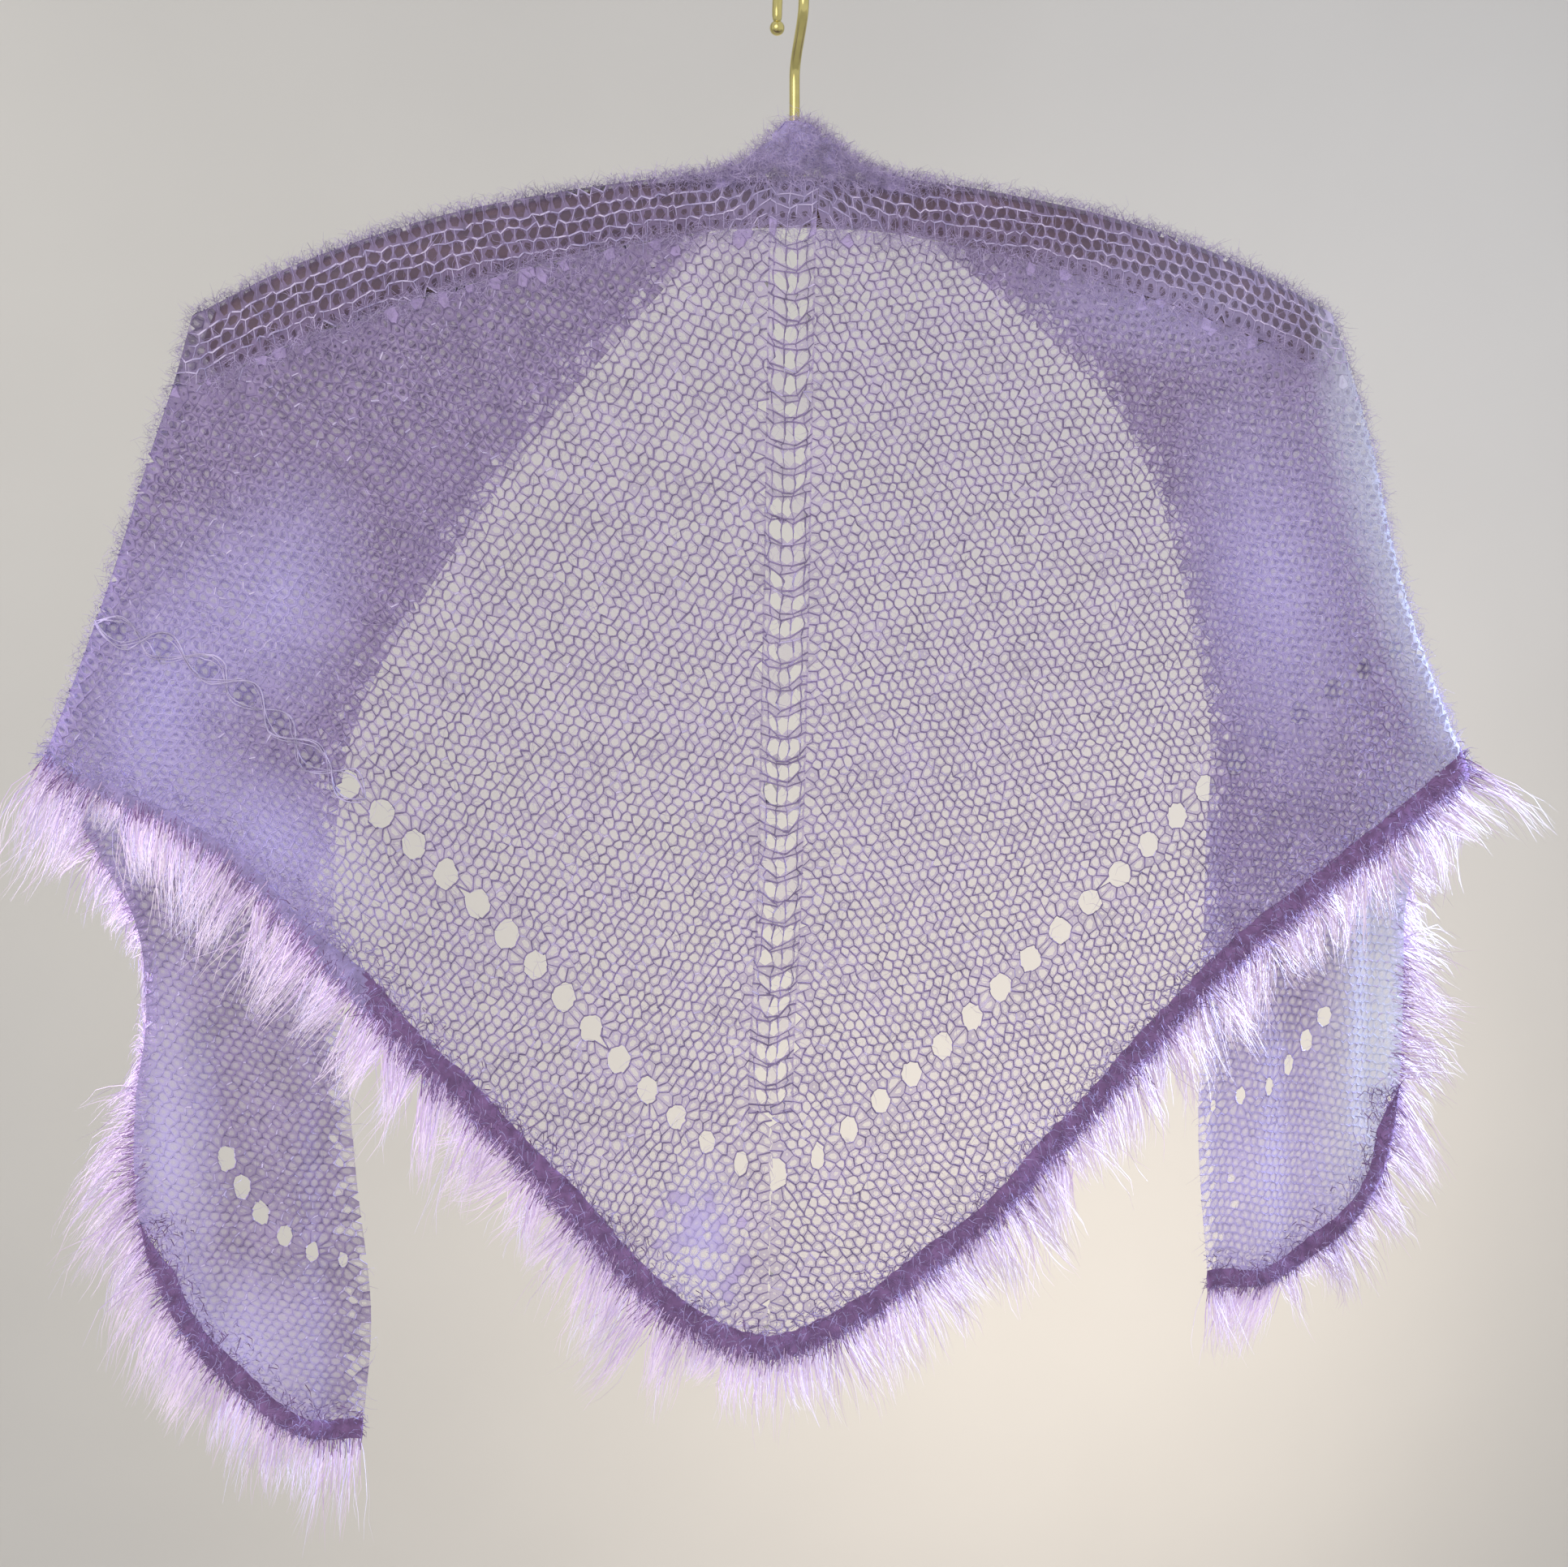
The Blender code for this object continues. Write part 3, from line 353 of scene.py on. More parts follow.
def nearest_on_line(points, line):
    """The nearest points of an open line, and the pieces of the line that they lie on."""
    a, along = line[:-1], np.diff(line, axis=0)
    length = np.maximum((along ** 2).sum(axis=1), 1e-12)
    feet, pieces = np.empty_like(points), np.empty(len(points), int)
    for start in range(0, len(points), 6000):
        part = points[start:start + 6000]
        share = np.clip(((part[:, None] - a) * along).sum(axis=2) / length, 0.0, 1.0)
        foot = a + share[..., None] * along
        best = ((part[:, None] - foot) ** 2).sum(axis=2).argmin(axis=1)
        feet[start:start + 6000] = foot[np.arange(len(part)), best]
        pieces[start:start + 6000] = best
    return feet, pieces


def unit(vectors):
    """Vectors of length one."""
    return vectors / np.maximum(np.linalg.norm(vectors, axis=-1, keepdims=True), 1e-9)


class Layer:
    """One hanging layer of cloth, with its distance from the bar's plane at points seen from the front."""

    def __init__(self, side, folds, lean, stem_room):
        self.side, self.folds, self.stem_room = side, folds, stem_room
        self.lean = np.array(sorted(lean))

    def away(self, points, distance):
        """What lean, folds and the stem add beyond the turn over the bar."""
        start = smooth_step((distance - 2.0) / LEAN_START)
        away = np.interp(points[:, 1], self.lean[:, 0], self.lean[:, 1]) * start
        for x1, z1, x2, z2, half_width, height in self.folds:
            foot, _ = nearest_on_line(points, np.array(((x1, z1), (x2, z2))))
            away += height * start * np.exp(-((points - foot) ** 2).sum(axis=1) / half_width ** 2)
        beside_stem = (points[:, 0] / STEM_ROOM_WIDTH) ** 2
        return away + self.stem_room * np.exp(-beside_stem - distance / STEM_ROOM_FADE)

    def away_at(self, points):
        """The same, with the distance from the hang line worked out here."""
        foot, _ = nearest_on_line(points, HANG_LINE)
        return self.away(points, np.linalg.norm(points - foot, axis=1))

    def place(self, points):
        """The cloth's middle at each point and the direction out of the layer, in millimetres."""
        foot, piece = nearest_on_line(points, HANG_LINE)
        distance = np.linalg.norm(points - foot, axis=1)
        along = unit(np.diff(HANG_LINE, axis=0))[piece]
        edge = np.stack([along[:, 1], -along[:, 0]], axis=1)
        towards = (points - foot) / np.maximum(distance, 1e-6)[:, None]
        inward = np.where(distance[:, None] > 1e-3, towards, edge)
        turn = np.arccos(np.clip(1.0 - distance / WRAP_RADIUS, 0.0, 1.0))
        away = self.away(points, distance)
        slope_x = self.away_at(points + (0.5, 0.0)) - self.away_at(points - (0.5, 0.0))
        slope_z = self.away_at(points + (0.0, 0.5)) - self.away_at(points - (0.0, 0.5))
        y = self.side * (SEAM_GAP / 2 + WRAP_RADIUS * np.sin(turn) + away)
        normals = unit(np.stack([
            -np.cos(turn) * inward[:, 0] - np.sin(turn) * slope_x,
            self.side * np.sin(turn),
            -np.cos(turn) * inward[:, 1] - np.sin(turn) * slope_z,
        ], axis=1))
        return np.stack([points[:, 0], y, points[:, 1]], axis=1), normals


BACK = Layer(-1, FOLDS_BACK, LEAN_BACK, STEM_ROOM)
FRONT_LEFT = Layer(1, FOLDS_LEFT, LEAN_FRONT, 0.0)
FRONT_RIGHT = Layer(1, FOLDS_RIGHT, LEAN_FRONT, 0.0)


def hem_lines(rows, inside, start_direction, end_direction):
    """The hem band's outer line, its inner line, the knit's edge, and each point's turn to the back."""
    curve = smooth_curve(rows, HEM_STEP)
    line, turns = curve[:, :2], curve[:, 2]
    along = unit(np.gradient(line, axis=0))
    normal = np.stack([-along[:, 1], along[:, 0]], axis=1)
    middle = len(line) // 2
    if normal[middle] @ (np.array(inside) - line[middle]) < 0:
        normal = -normal
    number = np.arange(len(line))
    from_start = smooth_step(number * HEM_STEP / HEM_END)[:, None]
    from_end = smooth_step((len(line) - 1 - number) * HEM_STEP / HEM_END)[:, None]
    direction = unit(normal * np.minimum(from_start, from_end) + start_direction * (1 - from_start)
                     + end_direction * (1 - from_end))
    stretch = 1.0 / np.maximum(LEAST_SQUARE, (direction * normal).sum(axis=1, keepdims=True))
    seam = SEAM_GAP + TWIST_ROOM * (1.0 - from_start * from_end)
    inner = line + direction * HEM_WIDTH * stretch
    return line, inner, line + direction * (HEM_WIDTH + seam) * stretch, turns


def direction_from_end(rows):
    """Unit direction into a line of rows from its last one."""
    return unit(np.array(rows[-2][:2]) - np.array(rows[-1][:2]))


def hems():
    """The three hems' lines."""
    left_up, right_up = direction_from_end(FOLD_LEFT), direction_from_end(FOLD_RIGHT)
    return (hem_lines(HEM_BACK, (0.0, -300.0), left_up, right_up),
            hem_lines(HEM_LEFT, (-190.0, -420.0), left_up, direction_from_end(INNER_LEFT)),
            hem_lines(HEM_RIGHT, (200.0, -420.0), right_up, direction_from_end(INNER_RIGHT)))


HEMS = hems()


def is_inside(points, polygon):
    """Whether points lie inside a closed outline."""
    x, y = points[:, 0], points[:, 1]
    inside = np.zeros(len(points), bool)
    for (ax, ay), (bx, by) in zip(polygon, np.roll(polygon, -1, axis=0)):
        if ay != by:
            inside ^= ((ay > y) != (by > y)) & (x < ax + (y - ay) * (bx - ax) / (by - ay))
    return inside


def spine_x(z):
    """Where the spine runs at a height."""
    rows = np.array(SPINE[::-1])
    return np.interp(z, rows[:, 0], rows[:, 1])


# A patch of net: corner points, each stitch's six corners, how much of it is open, how far each point stands
# out, whether it lies on the patch's outline, and each stitch's kind: usual, felted or stretched thin
Net = namedtuple("Net", "points cells share relief rim kind")
USUAL, FELTED, STRETCHED = range(3)


def band_edge(x):
    """Lower edge of the stitches that lie along the bar."""
    return bar_top(x) - arch(x, 2) - 1.0


def net_edge(number):
    """Where the net ends at a hem: under the plum band, or on the edge where it is turned to the back."""
    outer, _, knit, _ = HEMS[number]
    share = 0.42 * smooth_step((BAND_SHOWS_BELOW[number] - outer[:, 1]) / 10.0)
    return outer + (knit - outer) * share[:, None]


def half_outline(side):
    """Outline of one half of the back panel below the bar, from its fold to the hem and back up the spine."""
    knit = net_edge(0)
    start = knit[0] if side < 0 else knit[-1]
    fold = HANG_LINE[(HANG_LINE[:, 1] > start[1] + 1.0) & (side * HANG_LINE[:, 0] > 0)]
    fold = fold[fold[:, 1] < band_edge(fold[:, 0]) - 1.0]
    fold = fold[np.argsort(fold[:, 1])]
    inner = LACE_COLUMNS[-1] - 0.6
    x = np.arange(abs(fold[-1, 0]) - 2.0, inner, -3.0) * side
    top = np.stack([x, band_edge(x) + 1.2 * np.sin(x * 1.3)], axis=1)
    z = np.arange(float(band_edge(inner)), LACE_END, -2.0)
    beside = np.stack([spine_x(z) + side * (inner + 0.9 * np.sin(z * 1.1)), z], axis=1)
    z = np.arange(LACE_END, knit[:, 1].min() + 1.0, -2.0)
    spine = np.stack([spine_x(z) + 0.9 * np.sin(z * 1.3), z], axis=1)
    knit = knit[side * (knit[:, 0] - spine_x(knit[:, 1])) > 0.5]
    return np.vstack([fold, top, beside, spine, knit[::-1] if side < 0 else knit])


def bar_outline(side):
    """Outline of the stitches that lie along the bar, from the spine's lace out to a side fold."""
    inner = side * LACE_COLUMNS[-1]
    hang = HANG_LINE[side * HANG_LINE[:, 0] > abs(inner) + 1.0]
    hang = hang[hang[:, 1] > band_edge(hang[:, 0]) + 1.0]
    hang = hang[np.argsort(np.abs(hang[:, 0]))]
    x = np.arange(abs(hang[-1, 0]) - 1.0, abs(inner), -5.0) * side
    low = np.stack([x, band_edge(x)], axis=1)
    start = np.array(((inner - 3.0 * side, float(ridge(inner))), (inner, float(ridge(inner)))))
    z = np.arange(float(band_edge(inner)), float(ridge(inner)), 4.0)
    return np.vstack([start[1:], hang, low, np.stack([spine_x(z) + inner, z], axis=1)])


def flap_outline(inner_rows, side):
    """Outline of one front flap."""
    knit, start_x = net_edge(1 if side < 0 else 2), inner_rows[0][0]
    inner = smooth_curve(((start_x, float(ridge(start_x))),) + inner_rows[1:], 8.0)
    inner = inner[inner[:, 1] > knit[-1, 1] + 2.0]
    hang = HANG_LINE[(side * (HANG_LINE[:, 0] - start_x) > 1.0) & (HANG_LINE[:, 1] > knit[0, 1] + 1.0)]
    return np.vstack([knit[::-1], hang if side < 0 else hang[::-1], inner])


def lace_cells(seed):
    """The spine's cells: groups of tall open gaps in a V, parted by rows of small dense ones."""
    rng = np.random.default_rng(seed)
    levels, kinds = [], []
    z = float(ridge(0.0))
    while z > LACE_TOP + 4.0:
        levels += [(z, 0.4), (z - 2.2, 0.4)]
        kinds.append("felted" if z > BAR_TOP + 2.0 else "plain")
        z -= 4.4
    levels[-1] = ((levels[-2][0] + LACE_TOP) / 2, 0.4)
    for group in range(LACE_GROUPS):
        levels += [(LACE_TOP - group * LACE_PITCH - depth, slope) for depth, slope in LACE_ROWS]
        kinds += ["open", "knot"]
    levels.append((LACE_END, 0.4))
    wide, edge = len(LACE_COLUMNS), LACE_COLUMNS[-1]
    points, top = [], float(ridge(0.0))
    for z, slope in levels:
        fade = float(smooth_step((top - z) / 30.0) * smooth_step((z - LACE_END) / 12.0))
        for u in LACE_COLUMNS:
            inner = u * (1.0 if abs(u) == edge else 0.72 + 0.28 * fade)
            height = z + (2.4 - (edge - abs(u)) * slope) * fade
            points.append((float(spine_x(z)) + inner, min(height, float(ridge(inner)))))
    points = np.array(points)
    rim = np.tile(np.abs(LACE_COLUMNS) == edge, len(levels))
    points[~rim] += rng.normal(0.0, 0.62, ((~rim).sum(), 2))
    cells, share, kind = [], [], []
    for number, name in enumerate(kinds):
        a, b, c = (2 * number * wide, (2 * number + 1) * wide, (2 * number + 2) * wide)
        for column in range(wide - 1):
            cells.append((c + column, c + column + 1, b + column + 1,
                          a + column + 1, a + column, b + column))
            middle = 0 < column < wide - 2
            share.append({"open": 0.86 if middle else 0.5, "knot": 0.2, "plain": 0.45, "felted": 0.3}[name])
            kind.append(FELTED if name == "felted" else STRETCHED if name == "plain" else USUAL)
    share = np.array(share) + rng.normal(0.0, 0.04, len(share))
    relief = np.where(np.arange(len(points)) % 2 == 0, 0.3, -0.2)
    return Net(points, np.array(cells), share, relief, rim, np.array(kind))


def waviness(points):
    """A slow, even unevenness of the knit, up to about 1 mm."""
    x, z = points[:, 0], points[:, 1]
    return np.stack([0.6 * np.sin(z / 17 + x / 61) + 0.4 * np.sin(z / 7.3 - x / 23),
                     0.6 * np.sin(x / 19 - z / 53 + 1.0) + 0.4 * np.sin(x / 8.1 + z / 29)], axis=1)


def rib_spread(ribs, hem=None):
    """A function that lays stitches out on the cloth: s along a rib, t from rib to rib along the hem."""
    rib, side, turn = np.radians(ribs)
    across, start = np.array((math.cos(side), math.sin(side))), np.array(TIP)
    if hem is not None:
        beside = (hem - start) @ across
        off = (hem - start) @ np.array((math.cos(rib), math.sin(rib)))
        order = np.argsort(beside)
        beside, off = beside[order], off[order]

    def spread(s, t):
        if hem is not None:
            s = s + np.interp(t, beside, off) * np.exp(-np.maximum(s, 0.0) / 90.0)
        angle = rib + turn * smooth_step((t - 130.0) / 230.0)
        points = start + s[:, None] * np.stack([np.cos(angle), np.sin(angle)], axis=1) + t[:, None] * across
        return points + waviness(points)
    return spread


def bar_spread(s, t):
    """Stitches along the bar: s along it, t down from the ridge."""
    points = np.stack([s, ridge(s) - t], axis=1)
    return points + waviness(points) * 0.6


NO_GAPS = np.array(((0.0, 900.0, 1.0, 1.0),))


def knit_cells(spread, stitch, row, outline, gaps, seed, zigzag=0.8):
    """Six-sided stitches that fill an outline round its gaps, in ribs that zigzag more or less."""
    rng = np.random.default_rng(seed)
    columns, rows = np.meshgrid(np.arange(-160, 240), np.arange(-160, 240))
    columns, rows = columns.ravel(), rows.ravel()
    two_x, three_z = 2 * columns + (rows & 1), 3 * rows
    centre = spread(two_x * stitch / 2, three_z * row / 3)
    low, high = outline.min(axis=0) - 1, outline.max(axis=0) + 1
    near = ((centre > low) & (centre < high)).all(axis=1)
    two_x, three_z, centre = two_x[near], three_z[near], centre[near]
    closed = np.vstack([outline, outline[:1]])
    keep = is_inside(centre, outline)
    keep &= np.linalg.norm(centre - nearest_on_line(centre, closed)[0], axis=1) > 0.5
    reach = (centre[:, None] - gaps[:, :2]) / (gaps[:, 2:] + 0.7)
    keep &= (reach ** 2).sum(axis=2).min(axis=1) > 1.0
    two_x, three_z, centre = two_x[keep], three_z[keep], centre[keep]
    corners = np.array(((0, 2), (1, 1), (1, -1), (0, -2), (-1, -1), (-1, 1)))
    key_x, key_z = two_x[:, None] + corners[:, 0], three_z[:, None] + corners[:, 1]
    keys = (key_x + 5000) * 100000 + (key_z + 5000)
    _, first, cells = np.unique(keys, return_index=True, return_inverse=True)
    cells = cells.reshape(key_x.shape)
    key_x, key_z = key_x.ravel()[first], key_z.ravel()[first]
    points = spread(key_x * stitch / 2, (key_z + (key_z % 3 - 1.5) * (zigzag - 1.0)) * row / 3)
    points += rng.normal(0.0, KNOT_STRAYS * stitch, points.shape)
    uses = np.bincount(cells.ravel(), minlength=len(points))

    feet, _ = nearest_on_line(points, closed)
    off = np.linalg.norm(points - feet, axis=1)
    outside = ~is_inside(points, outline)
    rim = outside | ((uses < 3) & (off < 0.72 * stitch))
    points[rim] = feet[rim]
    delta = points[:, None] - gaps[:, :2]
    reach = np.sqrt(((delta / gaps[:, 2:]) ** 2).sum(axis=2))
    which = reach.argmin(axis=1)
    each = np.arange(len(points))
    reach, delta, gap = reach[each, which], delta[each, which], gaps[which]
    beyond = (reach - 1.0) * gap[:, 2:].mean(axis=1)
    pull = (reach < 1.0) | ((uses < 3) & (beyond < 1.3 * stitch) & ~rim)
    uneven = rng.uniform(0.88, 1.10, len(points))
    points[pull] = (gap[:, :2] + delta * (uneven / np.maximum(reach, 0.2))[:, None])[pull]

    reach = np.sqrt((((centre[:, None] - gaps[:, :2]) / gaps[:, 2:]) ** 2).sum(axis=2)).min(axis=1)
    x, z = centre[:, 0], centre[:, 1]
    field = np.sin(x / 13 + 1.7 * np.sin(z / 21)) * np.sin(z / 11 + x / 37)
    share = OPEN_SHARE + 0.07 * field + rng.normal(0.0, 0.09, len(centre))
    share -= 0.3 * (rng.random(len(centre)) < 0.04)
    share -= 0.42 * np.exp(-((band_edge(x) - z) / 9.0) ** 2)
    for x, z, radius, change in PATCHES:
        share += change * np.exp(-((centre - (x, z)) ** 2).sum(axis=1) / radius ** 2)
    share -= 0.12 * (rim[cells].sum(axis=1) >= 2)
    share = np.clip(share - 0.30 * np.exp(-((reach - 1.0) / 0.6) ** 2), OPEN_LEAST, OPEN_MOST)
    # the knot is on the far or the near side by turns, which gives the knit its relief
    relief = np.where(key_z % 3 == 2, NEAR_KNOT, FAR_KNOT) + rng.normal(0.0, 0.06, len(points))
    return Net(points, cells, share, relief, rim, np.zeros(len(cells), int))


def over_bar_net(side):
    """The stitches over the bar: felted where the cloth turns over it, stretched thin on its face."""
    net = knit_cells(bar_spread, BAR_STITCH, BAR_ROW, bar_outline(side), NO_GAPS, SEED + 3 + side,
                     zigzag=0.45)
    middle = net.points[net.cells].mean(axis=1)
    felted = middle[:, 1] > bar_top(middle[:, 0]) - 1.0
    return net._replace(share=np.where(felted, 0.35, np.minimum(net.share + 0.2, 0.8)),
                        kind=np.where(felted, FELTED, STRETCHED))


def felt_by_chance(net):
    """The net with some stitches felted right under the bar and in the matted spot."""
    middle = net.points[net.cells].mean(axis=1)
    under_bar = np.exp(-((band_edge(middle[:, 0]) - middle[:, 1]) / 4.0) ** 2)
    matted = np.exp(-(((middle - MATTED[:2]) / MATTED[2:]) ** 2).sum(axis=1) ** 2)
    chance = np.maximum(0.35 * under_bar, 0.5 * matted) * (net.kind == USUAL)
    felted = np.random.default_rng(SEED + 7).random(len(middle)) < chance
    return net._replace(kind=np.where(felted, FELTED, net.kind))


def to_world(points):
    """Metres in the part's frame from the tables' millimetres."""
    return (points + (0.0, CLOTH_SHIFT_Y, 0.0)) * MM


def new_object(name, points, face_sets, materials, smooth=True):
    """A named object from points in metres and sets of faces, each with its material's number."""
    mesh = bpy.data.meshes.new(name)
    mesh.vertices.add(len(points))
    mesh.vertices.foreach_set("co", np.ascontiguousarray(points, dtype=np.float32).ravel())
    corners = np.concatenate([faces.ravel() for faces, _ in face_sets])
    sizes = np.concatenate([np.full(len(faces), faces.shape[1]) for faces, _ in face_sets])
    numbers = np.concatenate([np.broadcast_to(number, len(faces)) for faces, number in face_sets])
    mesh.loops.add(len(corners))
    mesh.loops.foreach_set("vertex_index", corners.astype(np.int32))
    mesh.polygons.add(len(sizes))
    mesh.polygons.foreach_set("loop_start", np.concatenate([[0], np.cumsum(sizes)[:-1]]).astype(np.int32))
    for material in materials:
        mesh.materials.append(material)
    mesh.polygons.foreach_set("material_index", numbers.astype(np.int32))
    mesh.update(calc_edges=True)
    mesh.validate()
    if smooth:
        mesh.shade_smooth()
    obj = bpy.data.objects.new(name, mesh)
    bpy.context.scene.collection.objects.link(obj)
    return obj


def dress(obj, slot, *nodes):
    """The object rides on the part's body and hides the named solids, if any, that it stands for; the slot is
    not used.
    """
    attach(obj, BODY)
    if nodes:
        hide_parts(*nodes)
    return obj


def haze_sheet(name, layer, net, materials):
    """The soft sheet of the net: a dense ring in each stitch round its thin, see-through middle."""
    points, cells, share = net.points, net.cells, net.share
    corners = points[cells]
    middle = corners.mean(axis=1, keepdims=True)
    beside = (corners + np.roll(corners, -1, axis=1)) / 2
    rings = (middle + (beside - middle) * share[:, None, None] * 1.04).reshape(-1, 2)
    count = len(points)
    ring = count + np.arange(len(cells) * 6).reshape(-1, 6)
    after, ring_after = np.roll(cells, -1, axis=1), np.roll(ring, -1, axis=1)
    rims = np.stack([cells, after, ring], axis=2).reshape(-1, 3)
    knots = np.stack([after, ring_after, ring], axis=2).reshape(-1, 3)
    place, _ = layer.place(np.vstack([points, rings]))
    number, closed = np.repeat(2 * net.kind, 6), share < 0.85
    return new_object(name, to_world(place), [(rims, number), (knots, number),
                                              (ring[closed], 2 * net.kind[closed] + 1)], materials)


def join_nets(nets):
    """Several patches of net as one."""
    starts = np.cumsum([0] + [len(net.points) for net in nets[:-1]])
    nets = [net._replace(cells=net.cells + start) for net, start in zip(nets, starts)]
    return Net(*(np.concatenate(parts) for parts in zip(*nets)))


def tubes(paths, radii, sides, seed=None):
    """Thin tubes along paths of equal length: points and faces, with open ends."""
    count, steps = paths.shape[:2]
    along = unit(np.gradient(paths, axis=1))
    rng = np.random.default_rng(seed)
    any_side = unit(rng.normal(size=(count, 1, 3))) if seed is not None else np.array((0.13, 0.97, 0.21))
    first = unit(np.cross(along, any_side))
    second = np.cross(along, first)
    turn = math.tau * np.arange(sides) / sides
    radii = np.asarray(radii, float).reshape(-1, 1, 1, 1) if np.ndim(radii) == 1 else radii
    ring = (paths[:, :, None] + radii * (np.cos(turn)[:, None] * first[:, :, None]
                                         + np.sin(turn)[:, None] * second[:, :, None]))
    start = np.arange(count * steps).reshape(count, steps)[:, :-1] * sides
    side, after = np.arange(sides), (np.arange(sides) + 1) % sides
    a, b = start[..., None] + side, start[..., None] + after
    faces = np.stack([a, b, b + sides, a + sides], axis=3).reshape(-1, 4)
    return ring.reshape(-1, 3), faces


def ribbons(paths, widths, seed):
    """Flat strands along paths, each turned its own way: points and faces."""
    count, steps = paths.shape[:2]
    rng = np.random.default_rng(seed)
    along = unit(np.gradient(paths, axis=1))
    side = unit(np.cross(along, unit(rng.normal(size=(count, 1, 3)))))
    pair = np.stack([paths - side * widths[..., None] / 2, paths + side * widths[..., None] / 2], axis=2)
    start = np.arange(count * steps).reshape(count, steps)[:, :-1].ravel() * 2
    return pair.reshape(-1, 3), np.stack([start, start + 1, start + 3, start + 2], axis=1)


def yarn_mesh(name, layer, net, width, painted_lit_share, materials, seed):
    """The yarn's core round every stitch, its knots near and far by turns, with a share of its strands chosen
    by chance for the pale yarn.
    """
    points, cells, relief = net.points, net.cells, net.relief
    ends = np.stack([cells, np.roll(cells, -1, axis=1)], axis=2).reshape(-1, 2)
    bridge = np.tile(np.isin(np.arange(6), (1, 4)), len(cells))
    ends, first = np.unique(np.sort(ends, axis=1), axis=0, return_index=True)
    bridge, kind = bridge[first], np.repeat(net.kind, 6)[first]
    apart = (points[ends[:, 0]] - points[ends[:, 1]]).any(axis=1) & ~net.rim[ends].all(axis=1)
    ends, bridge, kind = ends[apart], bridge[apart], kind[apart]
    place, normals = layer.place(points)
    place = place + normals * relief[:, None]
    rng = np.random.default_rng(seed)
    # the rib's own loops are thicker than the strands that cross between two ribs
    radii = width / MM / 2 * rng.uniform(0.7, 1.3, len(ends)) * np.where(bridge, 0.6, 1.1)
    ring, faces = tubes(place[ends], radii, 3)
    # painted light: the pale yarn on stretched stitches and on the strands chosen by chance stands in for
    # strands that catch the light
    pale = (kind == STRETCHED) | (rng.random(len(ends)) < painted_lit_share)
    return new_object(name, to_world(ring), [(faces, np.repeat(pale.astype(int), 3))], materials)


def loose_hairs(name, place, normals, lift, length, width, materials, seed):
    """Loose bent hairs from their roots; lift says how much they stand off along the normals."""
    rng = np.random.default_rng(seed)
    number = len(place)
    flat = rng.normal(size=(number, 3))
    flat = unit(flat - (flat * normals).sum(axis=1, keepdims=True) * normals)
    first = unit(flat + rng.uniform(*lift, (number, 1)) * normals)
    bend = unit(first * 0.6 + flat * 0.6 + rng.normal(0, 0.6, (number, 3)) - (0, 0, 0.3))
    reach = (length / MM * rng.uniform(0.4, 1.5, number))[:, None]
    middle = place + first * reach * 0.5
    paths = np.stack([place, middle, middle + bend * reach * 0.5], axis=1)
    widths = np.broadcast_to(np.array((1.0, 0.75, 0.3)) * width / MM, paths.shape[:2])
    pair, faces = ribbons(paths, widths, seed)
    return new_object(name, to_world(pair), [(faces, 0)], materials)


def eyelet_chain(name, layer, gaps, width, materials, seed):
    """Loose strands that pass each eyelet on either side and cross between two of them."""
    rng = np.random.default_rng(seed)
    at = np.linspace(-0.5, len(gaps) - 0.5, 10 * len(gaps) + 1)
    number = np.arange(len(gaps))
    centre = np.stack([np.interp(at, number, gaps[:, 0]), np.interp(at, number, gaps[:, 1])], axis=1)
    centre[at < 0] += (gaps[0, :2] - gaps[1, :2]) * -at[at < 0, None]
    centre[at > number[-1]] += (gaps[-1, :2] - gaps[-2, :2]) * (at[at > number[-1]] - number[-1])[:, None]
    along = unit(np.gradient(centre, axis=0))
    across = np.stack([-along[:, 1], along[:, 0]], axis=1)
    paths = []
    for strand in range(6):
        size = rng.uniform(3.4, 5.8) * (1 if strand % 2 else -1)
        wobble = np.interp(at, at[::4], rng.normal(0.0, 0.8, len(at[::4])))
        flat = centre + across * (size * np.cos(math.pi * at) + wobble)[:, None]
        place, normals = layer.place(flat)
        paths.append(place + normals * rng.uniform(0.3, 0.9))
    points, faces = tubes(np.array(paths), width / MM / 2 * rng.uniform(0.6, 1.2, len(paths)), 3)
    return new_object(name, to_world(points), [(faces, 0)], materials)


